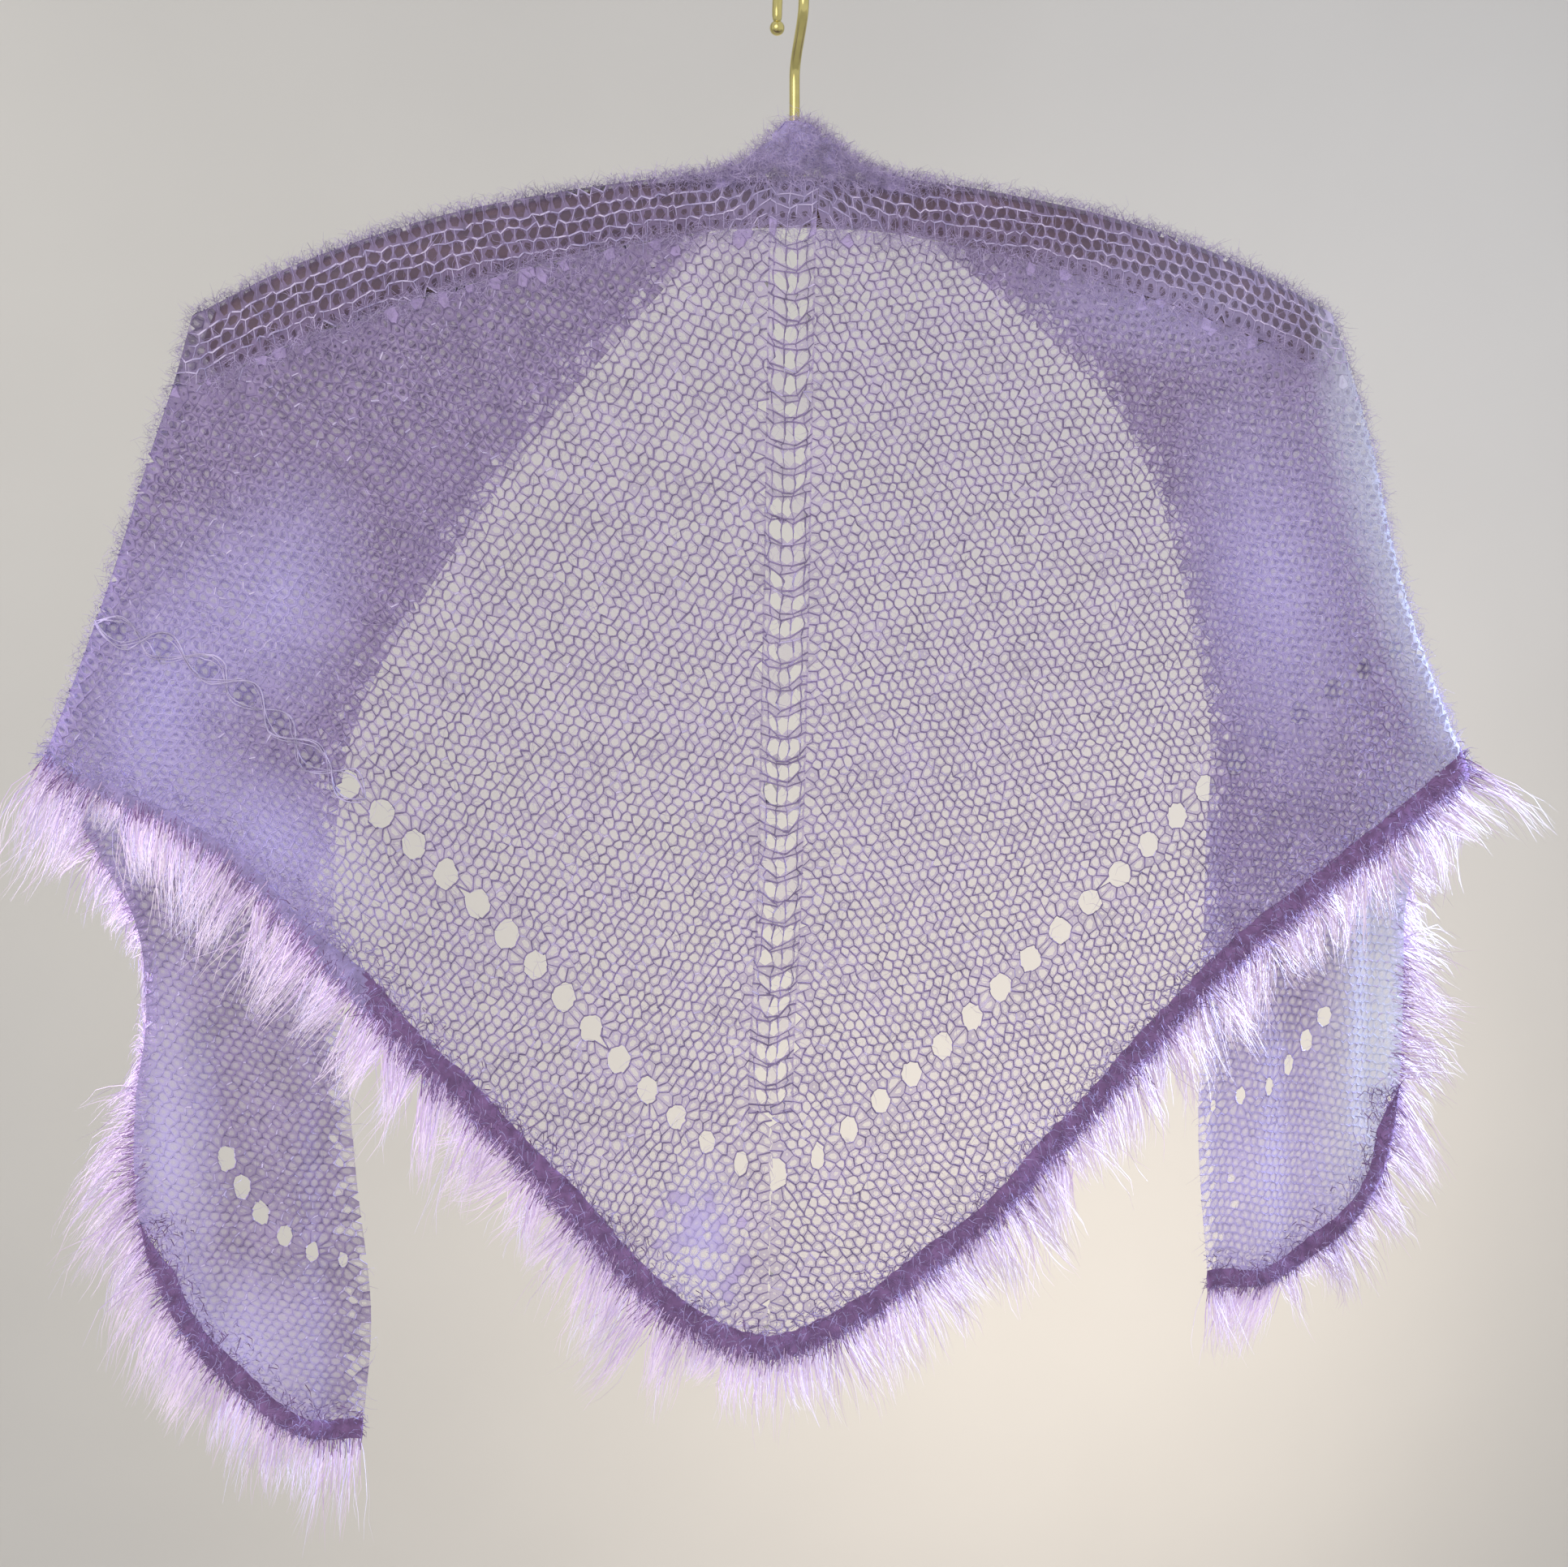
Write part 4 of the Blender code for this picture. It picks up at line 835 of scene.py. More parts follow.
def band_mesh(name, layer, lines, width, materials):
    """The hem band: a thick strip inside the fur's line, with an uneven inner edge."""
    outer, _, knit, _ = lines
    steps, wide = len(outer), 7
    number = np.arange(steps)
    depth = np.random.default_rng(SEED).uniform(0.95, 1.05, steps) * smooth_step((number + 1) / 10)
    depth *= width * (1.0 + 0.06 * np.sin(number * 0.31))
    if layer is BACK:
        depth *= 1.0 - 0.5 * smooth_step((LILAC_HEM_TO - outer[:, 0]) / 30.0)
    shares = np.linspace(0.0, 1.0, wide) * depth[:, None]
    flat = outer[:, None] + (knit - outer)[:, None] * shares[..., None]
    place, normals = layer.place(flat.reshape(-1, 2))
    rng = np.random.default_rng(SEED)
    swell = 0.75 + 0.35 * rng.uniform(-1, 1, len(place))
    swell *= np.tile(np.sin(np.linspace(0.25, math.pi - 0.25, wide)), steps)
    near, far = place + normals * swell[:, None], place - normals * swell[:, None]
    at = np.arange(steps * wide).reshape(steps, wide)
    a, b, c, d = at[:-1, :-1].ravel(), at[1:, :-1].ravel(), at[1:, 1:].ravel(), at[:-1, 1:].ravel()
    count = steps * wide
    rim = np.concatenate([at[:, 0], at[-1, 1:], at[-2::-1, -1], at[0, -2:0:-1]])
    rim_after = np.roll(rim, -1)
    lilac = (flat.reshape(-1, 2)[:, 0] < LILAC_HEM_TO).astype(int) if layer is BACK else np.zeros(count, int)
    faces = [
        (np.stack([a, b, c, d], axis=1), lilac[a]),
        (np.stack([d, c, b, a], axis=1) + count, lilac[a]),
        (np.stack([rim, rim + count, rim_after + count, rim_after], axis=1), lilac[rim]),
    ]
    return new_object(name, to_world(np.vstack([near, far])), faces, materials)


def hem_roots(layer, lines, number, depth, rng):
    """Roots spread along a hem, with their outward, along and out-of-the-layer directions."""
    outer, inner, _, turns = lines
    at = rng.uniform(0, len(outer) - 1.001, number)
    low, share = at.astype(int), (at % 1)[:, None]
    edge = outer[low] * (1 - share) + outer[low + 1] * share
    back = inner[low] * (1 - share) + inner[low + 1] * share
    turn = np.interp(at, np.arange(len(turns)), turns)
    edge_at, normals = layer.place(edge)
    back_at, _ = layer.place(back)
    root_at, _ = layer.place(edge + (back - edge) * depth[:, None])
    out = unit(edge_at - back_at)
    ahead, _ = layer.place(edge + unit(outer[low + 1] - outer[low]) * 0.5)
    along = unit(ahead - edge_at)
    back_turn = (turn * math.radians(95.0))[:, None]
    return at, root_at, np.cos(back_turn) * out + np.sin(back_turn) * normals, along, normals, turn


def fur_mesh(name, layer, lines, settings, sweeps, seed, materials):
    """Long eyelash fur in loose, uneven locks, out of the hem band and down with its own weight."""
    rng = np.random.default_rng(seed)
    last = len(lines[0]) - 1
    number = int(last * HEM_STEP * settings.density)
    depth = rng.beta(1.0, 2.0, number) * 0.5
    at, root, out, along, normals, turn = hem_roots(layer, lines, number, depth, rng)
    lock_at = np.sort(rng.uniform(0.0, last * HEM_STEP, int(last * HEM_STEP / 6.5)))
    lock = np.searchsorted(lock_at, at * HEM_STEP + rng.normal(0.0, 1.8, number))
    locks = len(lock_at) + 1

    def of_lock(spread, middle=0.0):
        return (rng.normal(middle, spread, locks)[lock])[:, None]
    near_end = np.minimum(at, last - at) * HEM_STEP
    corner = np.exp(-(near_end / 24.0) ** 2) * (sweeps[0] != 0 or sweeps[1] != 0)
    sweep = np.where(at < last / 2, -sweeps[0], sweeps[1]) * corner
    out = out + sweep[:, None] * np.array((1.0, 0.0, 0.0))
    sway = of_lock(0.34) + rng.normal(0, 0.22, (number, 1))
    lift = of_lock(0.16) + rng.normal(0, 0.12, (number, 1)) + 0.08
    droop = (of_lock(0.18, 0.85) + rng.normal(0, 0.12, (number, 1))) * (1.0 - 0.5 * corner[:, None])
    curl = of_lock(0.32) + rng.normal(0, 0.22, (number, 1))
    phase = of_lock(1.6) + rng.normal(0, 0.5, (number, 1))
    size = settings.length / MM * (0.92 + of_lock(0.18)[:, 0]) * rng.choice((0.5, 0.75, 1.0, 1.2), number)
    size *= rng.uniform(0.8, 1.15, number) * (1.0 + 0.2 * corner - 0.35 * turn)
    steps = 6
    paths = [root + normals * rng.uniform(-0.6, 1.9, (number, 1))]
    for step in range(1, steps):
        t = step / (steps - 1)
        direction = unit(out + (sway * (0.3 + 1.1 * t) + curl * np.sin(phase + 4.2 * t)) * along
                         + (lift * (1.4 - 1.1 * t) + 0.5 * curl * np.cos(phase + 3.6 * t)) * normals
                         + droop * (0.45 + t) * np.array((0.0, 0.0, -1.0)))
        paths.append(paths[-1] + direction * (size / (steps - 1))[:, None])
    paths = np.stack(paths, axis=1)
    counts = np.maximum(np.bincount(lock, minlength=locks), 1)[:, None, None]
    middles = np.zeros((locks, steps, 3))
    np.add.at(middles, lock, paths)
    middles /= counts
    hold = np.abs(rng.normal(0.45, 0.25, locks))[lock][:, None, None] * rng.uniform(0.4, 1.0, (number, 1, 1))
    gather = np.linspace(0.0, 1.0, steps)[None, :, None] ** 1.3 * np.minimum(hold, 0.85)
    paths = paths + (middles[lock] - paths) * gather
    paths[:, 1:] += rng.normal(0, 0.4, paths[:, 1:].shape) * np.linspace(0.4, 1.2, steps - 1)[None, :, None]
    taper = np.array((0.8, 1.0, 0.9, 0.75, 0.5, 0.15))
    widths = settings.strand / MM * taper * rng.uniform(0.6, 1.3, (number, 1))
    pair, faces = ribbons(paths, widths, seed)
    # a strand starts plum in the band, and its tip is the palest
    pale = np.tile(np.array((0, 1, 1, 2, 2)), number)
    lighter = np.repeat(rng.uniform(size=number) < 0.4, steps - 1)
    pale = np.where(lighter, np.minimum(pale + 1, 2), pale)
    return new_object(name, to_world(pair), [(faces, pale)], materials)


def pile_mesh(name, layer, lines, per_mm, seed, materials):
    """Short plum hairs that cover the hem band and cross its edges."""
    rng = np.random.default_rng(seed)
    number = int((len(lines[0]) - 1) * HEM_STEP * per_mm)
    depth = np.minimum(np.abs(rng.normal(0.35, 0.50, number)), 1.6)
    _, root, out, along, normals, _ = hem_roots(layer, lines, number, depth, rng)
    side = np.where(rng.uniform(size=(number, 1)) < 0.5, 1.0, -0.7)
    outward, sideways = rng.uniform(-0.5, 1.0, (number, 1)), rng.normal(0, 0.8, (number, 1))
    first = unit(out * outward + along * sideways + side * normals * 0.7)
    second = unit(first + out * 0.5 + rng.normal(0, 0.5, (number, 3)) - (0.0, 0.0, 0.3))
    reach = rng.uniform(2.5, 7.0, (number, 1))
    middle = root + first * reach * 0.55
    paths = np.stack([root, middle, middle + second * reach * 0.5], axis=1)
    widths = np.broadcast_to(np.array((0.40, 0.32, 0.08)), paths.shape[:2])
    pair, faces = ribbons(paths, widths, seed)
    lilac = np.zeros(number, bool)
    if layer is BACK:
        lilac = root[:, 0] + rng.normal(0.0, 16.0, number) < LILAC_HEM_TO
    lilac |= rng.random(number) < 0.35
    return new_object(name, to_world(pair), [(faces, np.repeat(lilac.astype(int), 2))], materials)


def add_node(tree, kind, links=(), **values):
    """A node with its settings and inputs; links are (from node, output, input) of this one."""
    node = tree.nodes.new(kind)
    for name, value in values.items():
        if hasattr(node, name):
            setattr(node, name, value)
        else:
            node.inputs[name.replace("_", " ")].default_value = value
    for source, output, target in links:
        tree.links.new(source.outputs[output], node.inputs[target])
    return node


def new_material(name, **values):
    """An empty material with its principled shader, whose sockets are set by name."""
    material = bpy.data.materials.new(name)
    material.use_nodes = True
    shader = material.node_tree.nodes["Principled BSDF"]
    for socket, value in values.items():
        shader.inputs[socket.replace("_", " ")].default_value = value
    return material, material.node_tree, shader


def mottle(tree, shader, dark, light, scale, detail=3.0):
    """Uneven dye: a noise in real size that goes between two colours."""
    place = add_node(tree, "ShaderNodeTexCoord")
    noise = add_node(tree, "ShaderNodeTexNoise", [(place, "Object", "Vector")], Scale=scale, Detail=detail)
    ramp = add_node(tree, "ShaderNodeValToRGB", [(noise, "Fac", "Fac")])
    for stop, position, colour in zip(ramp.color_ramp.elements, (0.34, 0.68), (dark, light)):
        stop.position, stop.color = position, (*colour, 1.0)
    tree.links.new(ramp.outputs["Color"], shader.inputs["Base Color"])
    return place


def shade(colour, factor):
    """A colour, lighter or darker."""
    return tuple(min(1.0, max(0.0, part * factor)) for part in colour)


def add_painted_light_and_tint(tree, shader, place, light_and_tint):
    """Soft ovals of painted light and of tint over the shader's own colour, each at its real place on the
    part.
    """
    last = shader.inputs["Base Color"].links[0].from_node
    for x, z, half_width, half_height, turn, colour in light_and_tint:
        oval = add_node(tree, "ShaderNodeMapping", [(place, "Object", "Vector")], vector_type="TEXTURE",
                        Location=(x * MM, 0.0, z * MM), Rotation=(0.0, math.radians(turn), 0.0),
                        Scale=(half_width * MM, 1.0, half_height * MM))
        fade = add_node(tree, "ShaderNodeTexGradient", [(oval, "Vector", "Vector")],
                        gradient_type="SPHERICAL")
        last = add_node(tree, "ShaderNodeMixRGB", [(fade, "Fac", "Fac"), (last, "Color", "Color1")],
                        Color2=(*colour, 1.0))
    tree.links.new(last.outputs["Color"], shader.inputs["Base Color"])


def painted_light_and_tint(net):
    """The table of ovals with the net's own colours: pale and icy for the painted light, a darker haze for
    the plum tint.
    """
    colours = {"pale": tuple(net.pale), "painted_highlight": tuple(net.painted_highlight), "plum": shade(net.haze, 0.6)}
    return [row[:5] + (colours[row[5]],) for row in PAINTED_LIGHT_AND_TINT]


def brushed_mohair_haze(name, colour, alpha, light_and_tint):
    """Brushed mohair between the yarns: matt, soft and partly see-through, with the table's ovals of painted
    light and tint over its colour.
    """
    material, tree, shader = new_material(name, Roughness=1.0, Specular_IOR_Level=0.1, Alpha=alpha,
                                          Sheen_Weight=0.35, Sheen_Roughness=0.6,
                                          Sheen_Tint=(*linear("#d9ccf2"), 1.0))
    place = mottle(tree, shader, shade(colour, 0.82), shade(colour, 1.14), 60.0)
    add_painted_light_and_tint(tree, shader, place, light_and_tint)
    return material


def haze_materials(name, light_and_tint, kinds):
    """Rim and middle haze for each kind of stitch, from its colour and two opacities."""
    return [brushed_mohair_haze("_".join(("brushed_mohair", name, kind, part)), colour, alpha, light_and_tint)
            for kind, colour, rim, middle in kinds for part, alpha in (("rim", rim), ("middle", middle))]


def spun_mohair_yarn(name, colour, light_and_tint=()):
    """Worsted-spun core of the yarn: darker than its brushed hairs, matt, with uneven dye along it."""
    material, tree, shader = new_material(name, Roughness=0.9, Specular_IOR_Level=0.2, Sheen_Weight=0.5,
                                          Sheen_Roughness=0.5, Sheen_Tint=(*linear("#cdbcec"), 1.0))
    place = mottle(tree, shader, shade(colour, 0.72), shade(colour, 1.3), 180.0)
    # the table's ovals of painted light and plum tint go over the yarn too, when they are given
    add_painted_light_and_tint(tree, shader, place, light_and_tint)
    return material


def eyelash_fur(name, colour):
    """Polyamide eyelash fur: fine and a little glossy, so that its locks catch the light in streaks."""
    material, tree, shader = new_material(name, Roughness=0.6, Specular_IOR_Level=0.15, Sheen_Weight=0.2,
                                          Sheen_Roughness=0.4, Sheen_Tint=(*linear("#f3eaff"), 1.0))
    mottle(tree, shader, shade(colour, 0.86), shade(colour, 1.1), 45.0)
    return material


def felted_wool(name, colour):
    """Felted wool of the hem band: matt and dense, with an uneven nap."""
    material, tree, shader = new_material(name, Roughness=1.0, Specular_IOR_Level=0.1, Sheen_Weight=0.4,
                                          Sheen_Roughness=0.6, Sheen_Tint=(*linear("#b69ccc"), 1.0))
    mottle(tree, shader, shade(colour, 0.72), shade(colour, 1.28), 220.0)
    return material


class SHAWL_OT_back_panel(bpy.types.Operator):
    """Knit the back panel on the hanger"""
    bl_idname = "shawl.back_panel"
    bl_label = "Back panel"

    def execute(self, context):
        net = context.scene.shawl_net
        hem = HEMS[0][0]
        gaps = smooth_curve(EYELETS_BACK, EYELET_PITCH)
        patches = [lace_cells(SEED)]
        for side, ribs in ((-1, RIBS_LEFT), (1, RIBS_RIGHT)):
            spread = rib_spread(ribs, hem[side * (hem[:, 0] - TIP[0]) >= 0])
            patches.append(knit_cells(spread, net.stitch / MM, net.row / MM, half_outline(side), gaps,
                                      SEED + side))
            patches.append(over_bar_net(side))
        whole, light_and_tint = felt_by_chance(join_nets(patches)), painted_light_and_tint(net)
        haze = haze_sheet("back_haze", BACK, whole, haze_materials("back", light_and_tint, (
            ("usual", net.haze, 0.56, 0.16), ("felted", shade(net.haze, 1.2), 0.92, 0.74),
            ("stretched", shade(net.haze, 0.8), 0.58, 0.22))))
        # the pale yarn is painted light: it goes on stretched stitches and on a few strands by chance
        yarn = yarn_mesh("back_yarn", BACK, whole, net.yarn, 0.06, [
            spun_mohair_yarn("spun_mohair", net.core, light_and_tint),
            spun_mohair_yarn("spun_mohair_painted_light", net.pale)], SEED)
        chain = eyelet_chain("eyelet_chain", BACK, gaps[gaps[:, 0] < CHAIN_TO], net.yarn, [
            spun_mohair_yarn("spun_mohair_loose", linear("#cabfe4"))], SEED)
        dress(haze, "mohair_net", "back_panel")
        dress(yarn, "mohair_net", "back_panel")
        dress(chain, "mohair_net")
        NETS["back"] = (BACK, whole)
        SHEETS["back"] = (haze, [yarn, chain])
        return {"FINISHED"}


class SHAWL_OT_front_flaps(bpy.types.Operator):
    """Knit the two front flaps that fall behind the bar"""
    bl_idname = "shawl.front_flaps"
    bl_label = "Front flaps"

    def execute(self, context):
        net = context.scene.shawl_net
        dense, light_and_tint = shade(net.haze, 0.82), painted_light_and_tint(net)
        rng = np.random.default_rng(SEED + 9)
        for name, layer, inner, eyelets, side, ribs in (
            ("left", FRONT_LEFT, INNER_LEFT, EYELETS_LEFT, -1, RIBS_FLAP_LEFT),
            ("right", FRONT_RIGHT, INNER_RIGHT, EYELETS_RIGHT, 1, RIBS_FLAP_RIGHT),
        ):
            gaps = smooth_curve(eyelets, FLAP_EYELET_PITCH)
            wing = knit_cells(rib_spread(ribs), net.flap_stitch / MM, net.flap_row / MM,
                              flap_outline(inner, side), gaps, SEED + 5 + side, zigzag=0.6)
            # near the wing's inner edge the knit hangs loose: wider open, and by chance thin
            middle = wing.points[wing.cells].mean(axis=1)
            edge = np.linalg.norm(middle - nearest_on_line(middle, np.array(inner[1:]))[0], axis=1)
            thin = rng.random(len(middle)) < 0.8 * np.exp(-(edge / 6.0) ** 2)
            wing = wing._replace(share=np.clip(wing.share - 0.12 + 0.14 * np.exp(-edge / 9.0), 0.2, 0.8),
                                 kind=np.where(thin, STRETCHED, USUAL))
            haze = haze_sheet("flap_haze_" + name, layer, wing, haze_materials("flap_" + name, light_and_tint, (
                ("usual", dense, 0.84, 0.56), ("felted", dense, 0.9, 0.9), ("thin", net.haze, 0.45, 0.12))))
            # the pale yarn is painted light: it goes on the thin stitches and on a share of strands by chance
            yarn = yarn_mesh("flap_yarn_" + name, layer, wing, net.yarn, 0.22, [
                spun_mohair_yarn("spun_mohair_flap_" + name, shade(net.core, 1.06), light_and_tint),
                spun_mohair_yarn("spun_mohair_flap_painted_light_" + name, net.pale)], SEED + side)
            for piece in (haze, yarn):
                dress(piece, "mohair_net", "front_flap_" + name)
            NETS[name] = (layer, wing)
            SHEETS[name] = (haze, [yarn])
        return {"FINISHED"}


class SHAWL_OT_halo(bpy.types.Operator):
    """Brush loose hairs out of the net"""
    bl_idname = "shawl.halo"
    bl_label = "Mohair halo"

    def execute(self, context):
        net = context.scene.shawl_net
        rng = np.random.default_rng(SEED + 40)
        sizes = {name: len(cells.points) for name, (_, cells) in NETS.items()}
        place, normals = [], []
        for name, (layer, cells) in NETS.items():
            number = round(net.halo_hairs * sizes[name] / sum(sizes.values()))
            at, off = layer.place(cells.points[rng.integers(0, sizes[name], number)])
            place.append(at)
            normals.append(off)
        hair = [spun_mohair_yarn("brushed_out_hairs", linear("#b9abd0"))]
        halo = loose_hairs("mohair_halo", np.concatenate(place), np.concatenate(normals), (-0.55, 0.75),
                           0.0060, 0.00015, hair, SEED + 41)

        # denser fuzz where the cloth turns over the bar and the folds, on the tent and right under the bar
        at = rng.uniform(0.0, len(HANG_LINE) - 1.001, net.halo_hairs // 2)
        low, share = at.astype(int), (at % 1)[:, None]
        folds = HANG_LINE[low] * (1 - share) + HANG_LINE[low + 1] * share
        x = rng.normal(2.0, 24.0, net.halo_hairs // 3)
        depth = rng.uniform(0.0, 1.0, len(x)) * (ridge(x) - BAR_TOP + arch(x, 1) + 3.0)
        tent = np.stack([x, ridge(x) - depth], axis=1)
        x = rng.uniform(-BAR_END, BAR_END, net.halo_hairs // 4)
        below = np.stack([x, band_edge(x) - rng.normal(0.5, 2.4, len(x))], axis=1)
        place, normals = BACK.place(np.vstack([folds, tent, below]))
        fuzz = loose_hairs("fold_fuzz", place + rng.normal(0.0, 1.0, place.shape), normals, (0.0, 1.3),
                           0.0055, 0.00016, hair, SEED + 42)
        for piece in (halo, fuzz):
            dress(piece, "mohair_net")
        SHEETS["back"][1].extend([halo, fuzz])
        return {"FINISHED"}


class SHAWL_OT_hems(bpy.types.Operator):
    """Make the plum hem bands and their long fur"""
    bl_idname = "shawl.hems"
    bl_label = "Furry hems"

    def execute(self, context):
        fur = context.scene.shawl_fur
        for number, (name, layer, sweeps) in enumerate((
            ("back", BACK, (0.45, 1.1)), ("left", FRONT_LEFT, (0.0, 0.0)), ("right", FRONT_RIGHT, (0.0, 0.0)),
        )):
            lines = HEMS[number]
            shown = [row[lines[0][:, 1] < BAND_SHOWS_BELOW[number]] for row in lines]
            band = band_mesh("hem_band_" + name, layer, shown, 0.86 if layer is BACK else 0.62, [
                felted_wool("felted_plum_wool_" + name, fur.band),
                felted_wool("felted_lilac_wool_" + name, fur.band_lilac)])
            pile = pile_mesh("hem_pile_" + name, layer, shown, 16.0, SEED + 60 + number, [
                spun_mohair_yarn("plum_pile_" + name, shade(fur.band, 0.8)),
                spun_mohair_yarn("lilac_pile_" + name, fur.band_lilac)])
            locks = fur_mesh("hem_fur_" + name, layer, lines, fur, sweeps, SEED + 80 + number, [
                eyelash_fur("eyelash_fur_ground_" + name, shade(fur.band, 1.25)),
                eyelash_fur("eyelash_fur_root_" + name, fur.root),
                eyelash_fur("eyelash_fur_tip_" + name, fur.tip)])
            dress(band, "fur_trim")
            dress(pile, "fur_trim")
            dress(locks, "fur_trim", "fur_hem_" + name)
            # fine pale fibres pass light on to each other, so the fur and its pile cast no shade
            for soft in (pile, locks):
                soft.visible_shadow = soft.visible_diffuse = False
            SHEETS[name][1].extend([band, pile, locks])
        return {"FINISHED"}


class SHAWL_OT_hanger(bpy.types.Operator):
    """Make the wooden bar and the wire hook"""
    bl_idname = "shawl.hanger"
    bl_label = "Coat hanger"

    def execute(self, context):
        colours = context.scene.shawl_hanger
        # beech, stained walnut brown under satin lacquer: long grain, soft gloss
        wood, tree, shader = new_material("stained_beech_lacquered", Roughness=0.42, Coat_Weight=0.25,
                                          Coat_Roughness=0.3)
        place = add_node(tree, "ShaderNodeTexCoord")
        stretch = add_node(tree, "ShaderNodeMapping", [(place, "Object", "Vector")],
                           Scale=(6.0, 120.0, 120.0))
        grain = add_node(tree, "ShaderNodeTexNoise", [(stretch, "Vector", "Vector")], Scale=3.0, Detail=5.0)
        ramp = add_node(tree, "ShaderNodeValToRGB", [(grain, "Fac", "Fac")])
        for stop, position, factor in zip(ramp.color_ramp.elements, (0.3, 0.7), (0.6, 1.3)):
            stop.position, stop.color = position, (*shade(colours.wood, factor), 1.0)
        tree.links.new(ramp.outputs["Color"], shader.inputs["Base Color"])
        bump = add_node(tree, "ShaderNodeBump", [(grain, "Fac", "Height")], Strength=0.12, Distance=0.0003)
        tree.links.new(bump.outputs["Normal"], shader.inputs["Normal"])
        rings = []
        for x in np.linspace(-BAR_END, BAR_END, 101):
            end = BAR_END - abs(x)
            round_off = 1.0 if end > 6.0 else 0.3 + 0.7 * math.sqrt(1.0 - (1.0 - end / 6.0) ** 2)
            half_thick, half_tall = BAR_THICKNESS / 2 * round_off, arch(x, 2) / 2 * round_off
            middle = bar_top(x) - arch(x, 2) / 2
            angle = math.tau * (np.arange(28) + 0.5) / 28
            upright = np.where(np.sin(angle) > 0, half_tall - half_thick, half_thick - half_tall)
            rings.append(np.stack([np.full(28, x), half_thick * np.cos(angle),
                                   middle + upright + half_thick * np.sin(angle)], axis=1))
        dress(loft("bar_dressed", rings, wood), "hanger_wood", "hanger_bar")

        # brass-plated steel wire, polished: pale gold highlights between dark reflections
        brass, tree, shader = new_material("polished_brass_plate", Metallic=1.0, Roughness=0.16)
        mottle(tree, shader, shade(colours.wire, 0.86), shade(colours.wire, 1.06), 140.0)
        path = hook_path()
        rings = []
        for number, (y, z, radius) in enumerate(path):
            before, after = path[max(number - 1, 0)], path[min(number + 1, len(path) - 1)]
            along = unit(np.array((0.0, after[0] - before[0], after[1] - before[1])))
            other = np.cross(along, (1.0, 0.0, 0.0))
            angle = (math.tau * np.arange(20) / 20)[:, None]
            rings.append(np.array((0.0, y, z)) + radius * (np.cos(angle) * np.array((1.0, 0.0, 0.0))
                                                           + np.sin(angle) * other))
        dress(loft("hook_dressed", rings, brass), "hook_wire", "hanger_hook")
        return {"FINISHED"}


def loft(name, rings, material):
    """A closed skin through rings with the same number of points."""
    sides, count = len(rings[0]), len(rings)
    side, after = np.arange(sides), (np.arange(sides) + 1) % sides
    start = (np.arange(count - 1) * sides)[:, None]
    walls = np.stack([start + side, start + after, start + after + sides, start + side + sides], axis=2)
    walls = walls.reshape(-1, 4)
    caps = np.stack([side[::-1], side + (count - 1) * sides])
    obj = new_object(name, to_world(np.vstack(rings)), [(walls, 0), (caps, 0)], [material])
    obj.data.set_sharp_from_angle(angle=math.radians(55))
    return obj


def hook_path():
    """Centre line of the wire from its foot on the bar to the ball, with the wire's radius there."""
    foot = float(bar_top(0.0)) + SEAM_GAP
    path = [(0.0, foot, FOOT_RADIUS), (0.0, foot + FOOT_HEIGHT - 0.6, FOOT_RADIUS),
            (0.0, foot + FOOT_HEIGHT - 0.2, FOOT_RADIUS * 0.85), (0.0, foot + FOOT_HEIGHT, WIRE_RADIUS)]
    centre_z = WIRE_RADIUS - BOW_RADIUS
    neck = math.radians(BOW_START)
    neck_y, neck_z = BOW_ACROSS + BOW_RADIUS * math.cos(neck), centre_z + BOW_RADIUS * math.sin(neck)
    for z in np.linspace(foot + FOOT_HEIGHT + 3.0, STEM_TOP - 1.0, 6):
        path.append((0.0, float(z), WIRE_RADIUS))
    for share in np.linspace(0.06, 0.94, 12):
        bend = float(smooth_step(share)) ** 1.1
        path.append((neck_y * bend, STEM_TOP + (neck_z - STEM_TOP) * share, WIRE_RADIUS))
    for angle in np.radians(np.arange(BOW_START, BOW_END, -5.0)):
        path.append((BOW_ACROSS + BOW_RADIUS * math.cos(angle), centre_z + BOW_RADIUS * math.sin(angle),
                     WIRE_RADIUS))
    tip = math.radians(BOW_END)
    end_y, end_z = BOW_ACROSS + BOW_RADIUS * math.cos(tip), centre_z + BOW_RADIUS * math.sin(tip)
    path.append((end_y, end_z + 0.4, WIRE_RADIUS * 0.9))
    for turn in range(-60, 85, 12):
        path.append((end_y, end_z - BALL_RADIUS - BALL_RADIUS * math.sin(math.radians(turn)),
                     BALL_RADIUS * math.cos(math.radians(turn))))
    return path


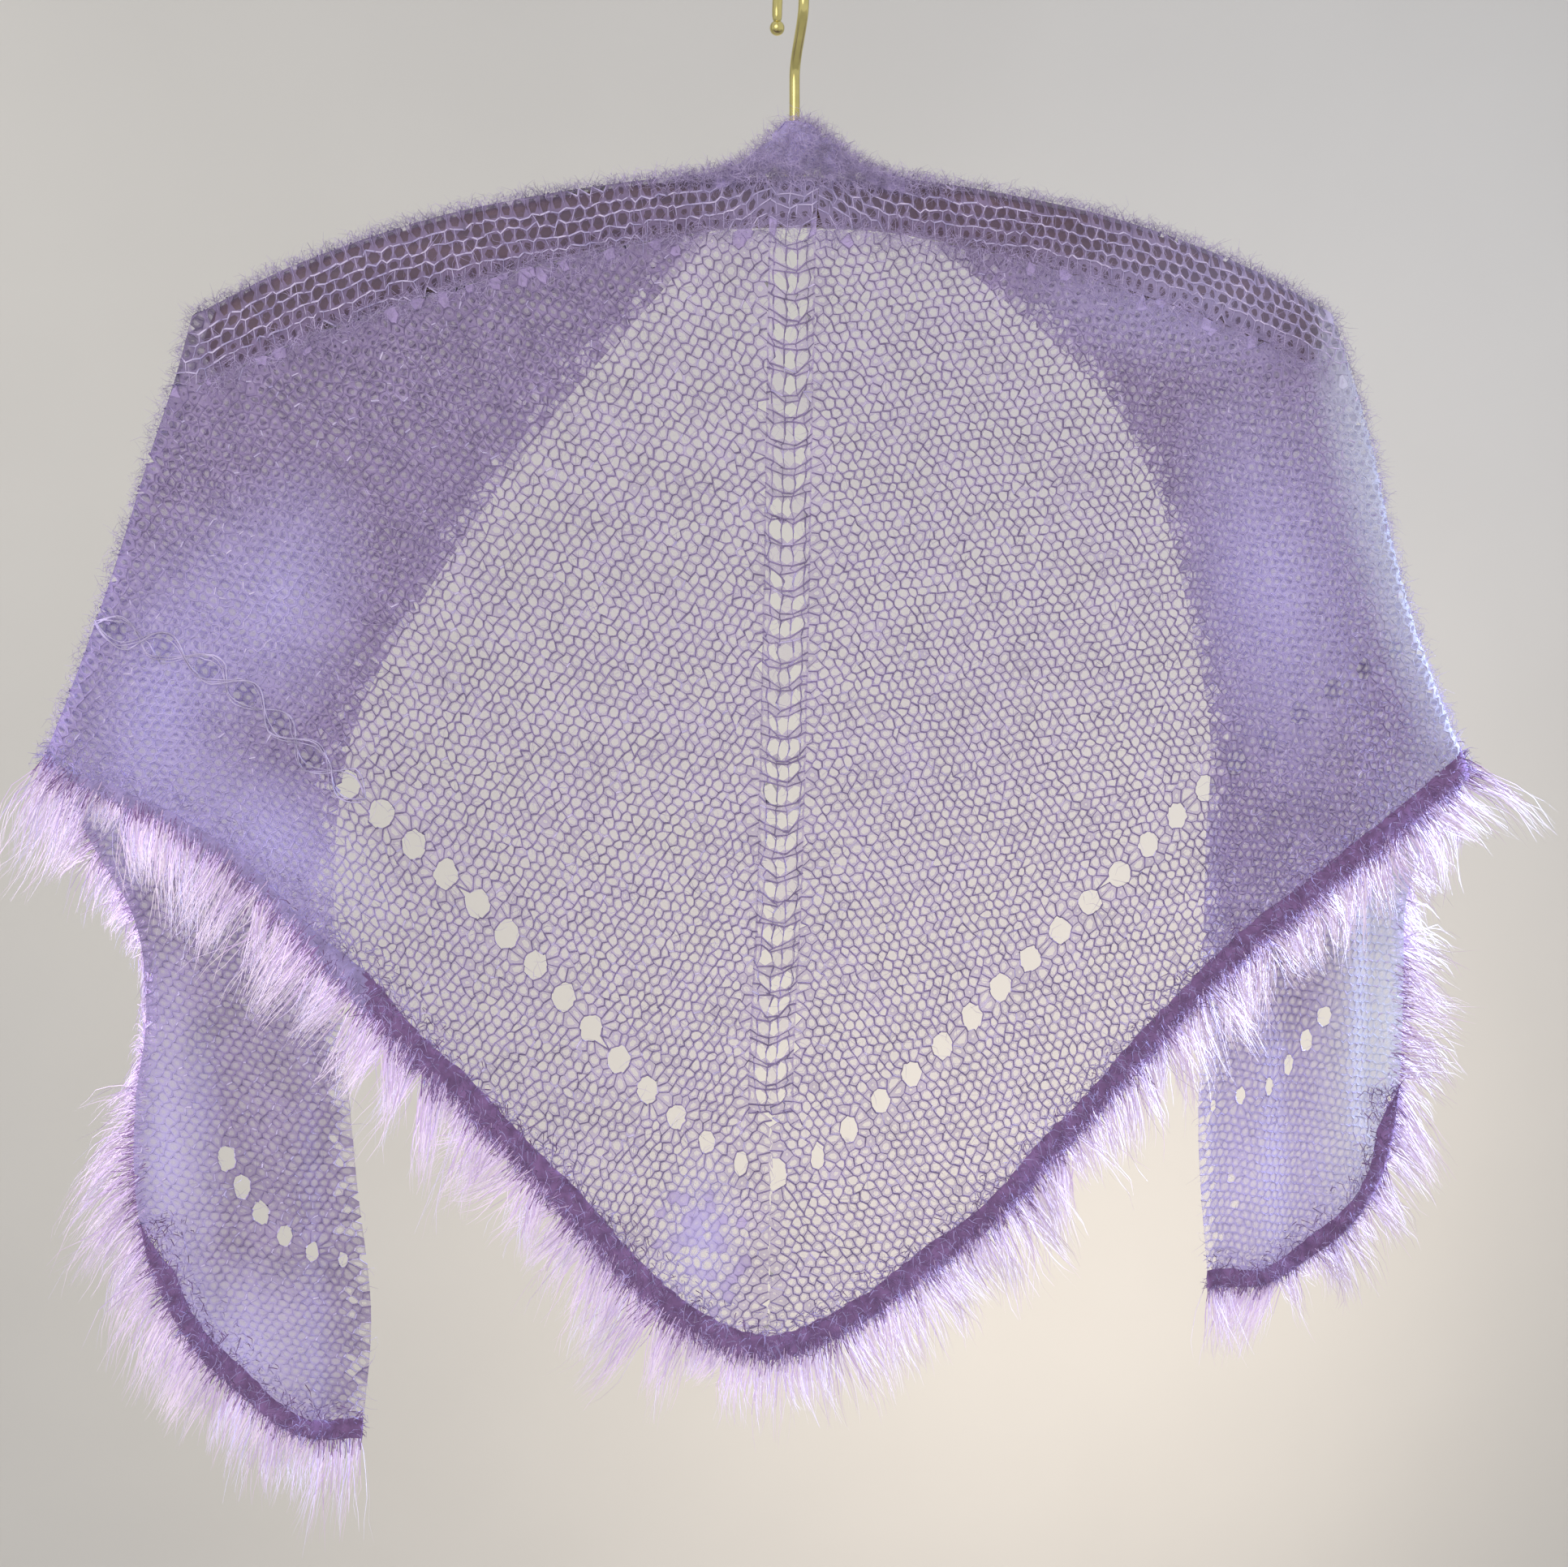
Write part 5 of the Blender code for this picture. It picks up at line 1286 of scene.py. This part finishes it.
class SHAWL_OT_stage(bpy.types.Operator):
    """Set the wall, the floor, the light and the camera"""
    bl_idname = "shawl.stage"
    bl_label = "Stage"

    def execute(self, context):
        settings = context.scene.shawl_stage
        # matt emulsion on plaster: even, with a slight unevenness of the roller
        paint, tree, shader = new_material("matt_emulsion_wall", Roughness=0.95, Specular_IOR_Level=0.2)
        mottle(tree, shader, shade(settings.wall, 0.985), shade(settings.wall, 1.015), 3.0)
        left, right, foot = -STAGE_HALF_WIDTH, STAGE_HALF_WIDTH, (WALL_AT, FLOOR_AT)
        upright = np.array(((left, *foot), (right, *foot), (right, WALL_AT, WALL_TOP),
                            (left, WALL_AT, WALL_TOP)))
        level = np.array(((left, FLOOR_FRONT, FLOOR_AT), (right, FLOOR_FRONT, FLOOR_AT), (right, *foot),
                          (left, *foot)))
        face = np.array(((0, 1, 2, 3),))
        wall = new_object("stage_wall", upright, [(face, 0)], [paint], smooth=False)
        floor = new_object("stage_floor", level, [(face, 0)], [paint], smooth=False)

        world = bpy.data.worlds.new("room_light")
        context.scene.world = world
        world.use_nodes = True
        sky = world.node_tree.nodes["Background"]
        sky.inputs["Color"].default_value = (*linear("#e1e1e3"), 1.0)
        sky.inputs["Strength"].default_value = 0.92
        # place and target in metres, width in metres, power in watts, colour, and spread in degrees
        for name, place, target, size, power, colour, spread in (
            ("light_front", (-0.9, -1.6, 0.5), (0.0, 0.0, -0.34), 1.6, 12.0, "#fff6ea", 180.0),
            ("light_right", (0.62, 0.06, -0.30), (0.27, 0.01, -0.38), 0.25, 1.3, "#c6ddff", 55.0),
            ("light_left", (-0.58, 0.10, -0.28), (-0.26, 0.01, -0.36), 0.25, 0.25, "#e4e0ff", 55.0),
            ("light_wall", (0.9, 0.9, -1.3), (0.6, 1.9, -1.15), 0.8, 8.0, "#ffeeda", 180.0),
            ("light_wall_right", (1.3, 0.9, -0.1), (1.1, 1.9, -0.1), 0.8, 2.0, "#dfe6ff", 180.0),
            ("light_wall_left", (-0.9, 0.9, 0.1), (-0.8, 1.9, 0.0), 0.8, 2.0, "#fff8ec", 180.0),
        ):
            lamp = bpy.data.lights.new(name, "AREA")
            lamp.shape, lamp.size, lamp.energy, lamp.color = "DISK", size, power, linear(colour)
            lamp.spread = math.radians(spread)
            obj = bpy.data.objects.new(name, lamp)
            obj.location = place
            obj.rotation_euler = (Vector(target) - Vector(place)).to_track_quat("-Z", "Y").to_euler()
            context.scene.collection.objects.link(obj)

        lens = bpy.data.cameras.new("camera")
        lens.lens, lens.sensor_width, lens.sensor_fit = settings.lens, 36.0, "HORIZONTAL"
        lens.clip_start, lens.clip_end = 0.01, 50.0
        camera = bpy.data.objects.new("camera", lens)
        camera.location = CAMERA_AT
        look = Vector(CAMERA_AIM) - camera.location
        camera.rotation_euler = look.to_track_quat("-Z", "Y").to_euler()
        context.scene.collection.objects.link(camera)
        context.scene.camera = camera
        context.scene.view_settings.view_transform = "Standard"
        return {"FINISHED"}


class SHAWL_PT_panel(bpy.types.Panel):
    """Steps and settings of the shawl"""
    bl_label = "Shawl"
    bl_idname = "SHAWL_PT_panel"
    bl_space_type = "VIEW_3D"
    bl_region_type = "UI"
    bl_category = "Shawl"

    def draw(self, context):
        for settings in (context.scene.shawl_net, context.scene.shawl_fur, context.scene.shawl_hanger,
                         context.scene.shawl_stage):
            box = self.layout.box()
            for name in settings.__annotations__:
                box.prop(settings, name)
        for operator in OPERATORS:
            self.layout.operator(operator.bl_idname)


# What the operators hand on: each net with its layer, and each sheet with the pieces that lie on it
NETS = {}
SHEETS = {}
GROUPS = {"shawl_net": NetSettings, "shawl_fur": FurSettings, "shawl_hanger": HangerSettings,
          "shawl_stage": StageSettings}
OPERATORS = (SHAWL_OT_stage, SHAWL_OT_back_panel, SHAWL_OT_front_flaps, SHAWL_OT_halo, SHAWL_OT_hems,
             SHAWL_OT_hanger)


def register():
    """Add the classes and the scene's settings."""
    for group in GROUPS.values():
        bpy.utils.register_class(group)
    for name, group in GROUPS.items():
        setattr(bpy.types.Scene, name, PointerProperty(type=group))
    for operator in OPERATORS + (SHAWL_PT_panel,):
        bpy.utils.register_class(operator)


def unregister():
    """Take them out again."""
    for operator in OPERATORS + (SHAWL_PT_panel,):
        bpy.utils.unregister_class(operator)
    for name, group in GROUPS.items():
        delattr(bpy.types.Scene, name)
        bpy.utils.unregister_class(group)


def main():
    """Make every piece."""
    register()
    bpy.ops.shawl.stage()
    bpy.ops.shawl.back_panel()
    bpy.ops.shawl.front_flaps()
    bpy.ops.shawl.halo()
    bpy.ops.shawl.hems()
    bpy.ops.shawl.hanger()


if __name__ == "__main__":
    main()
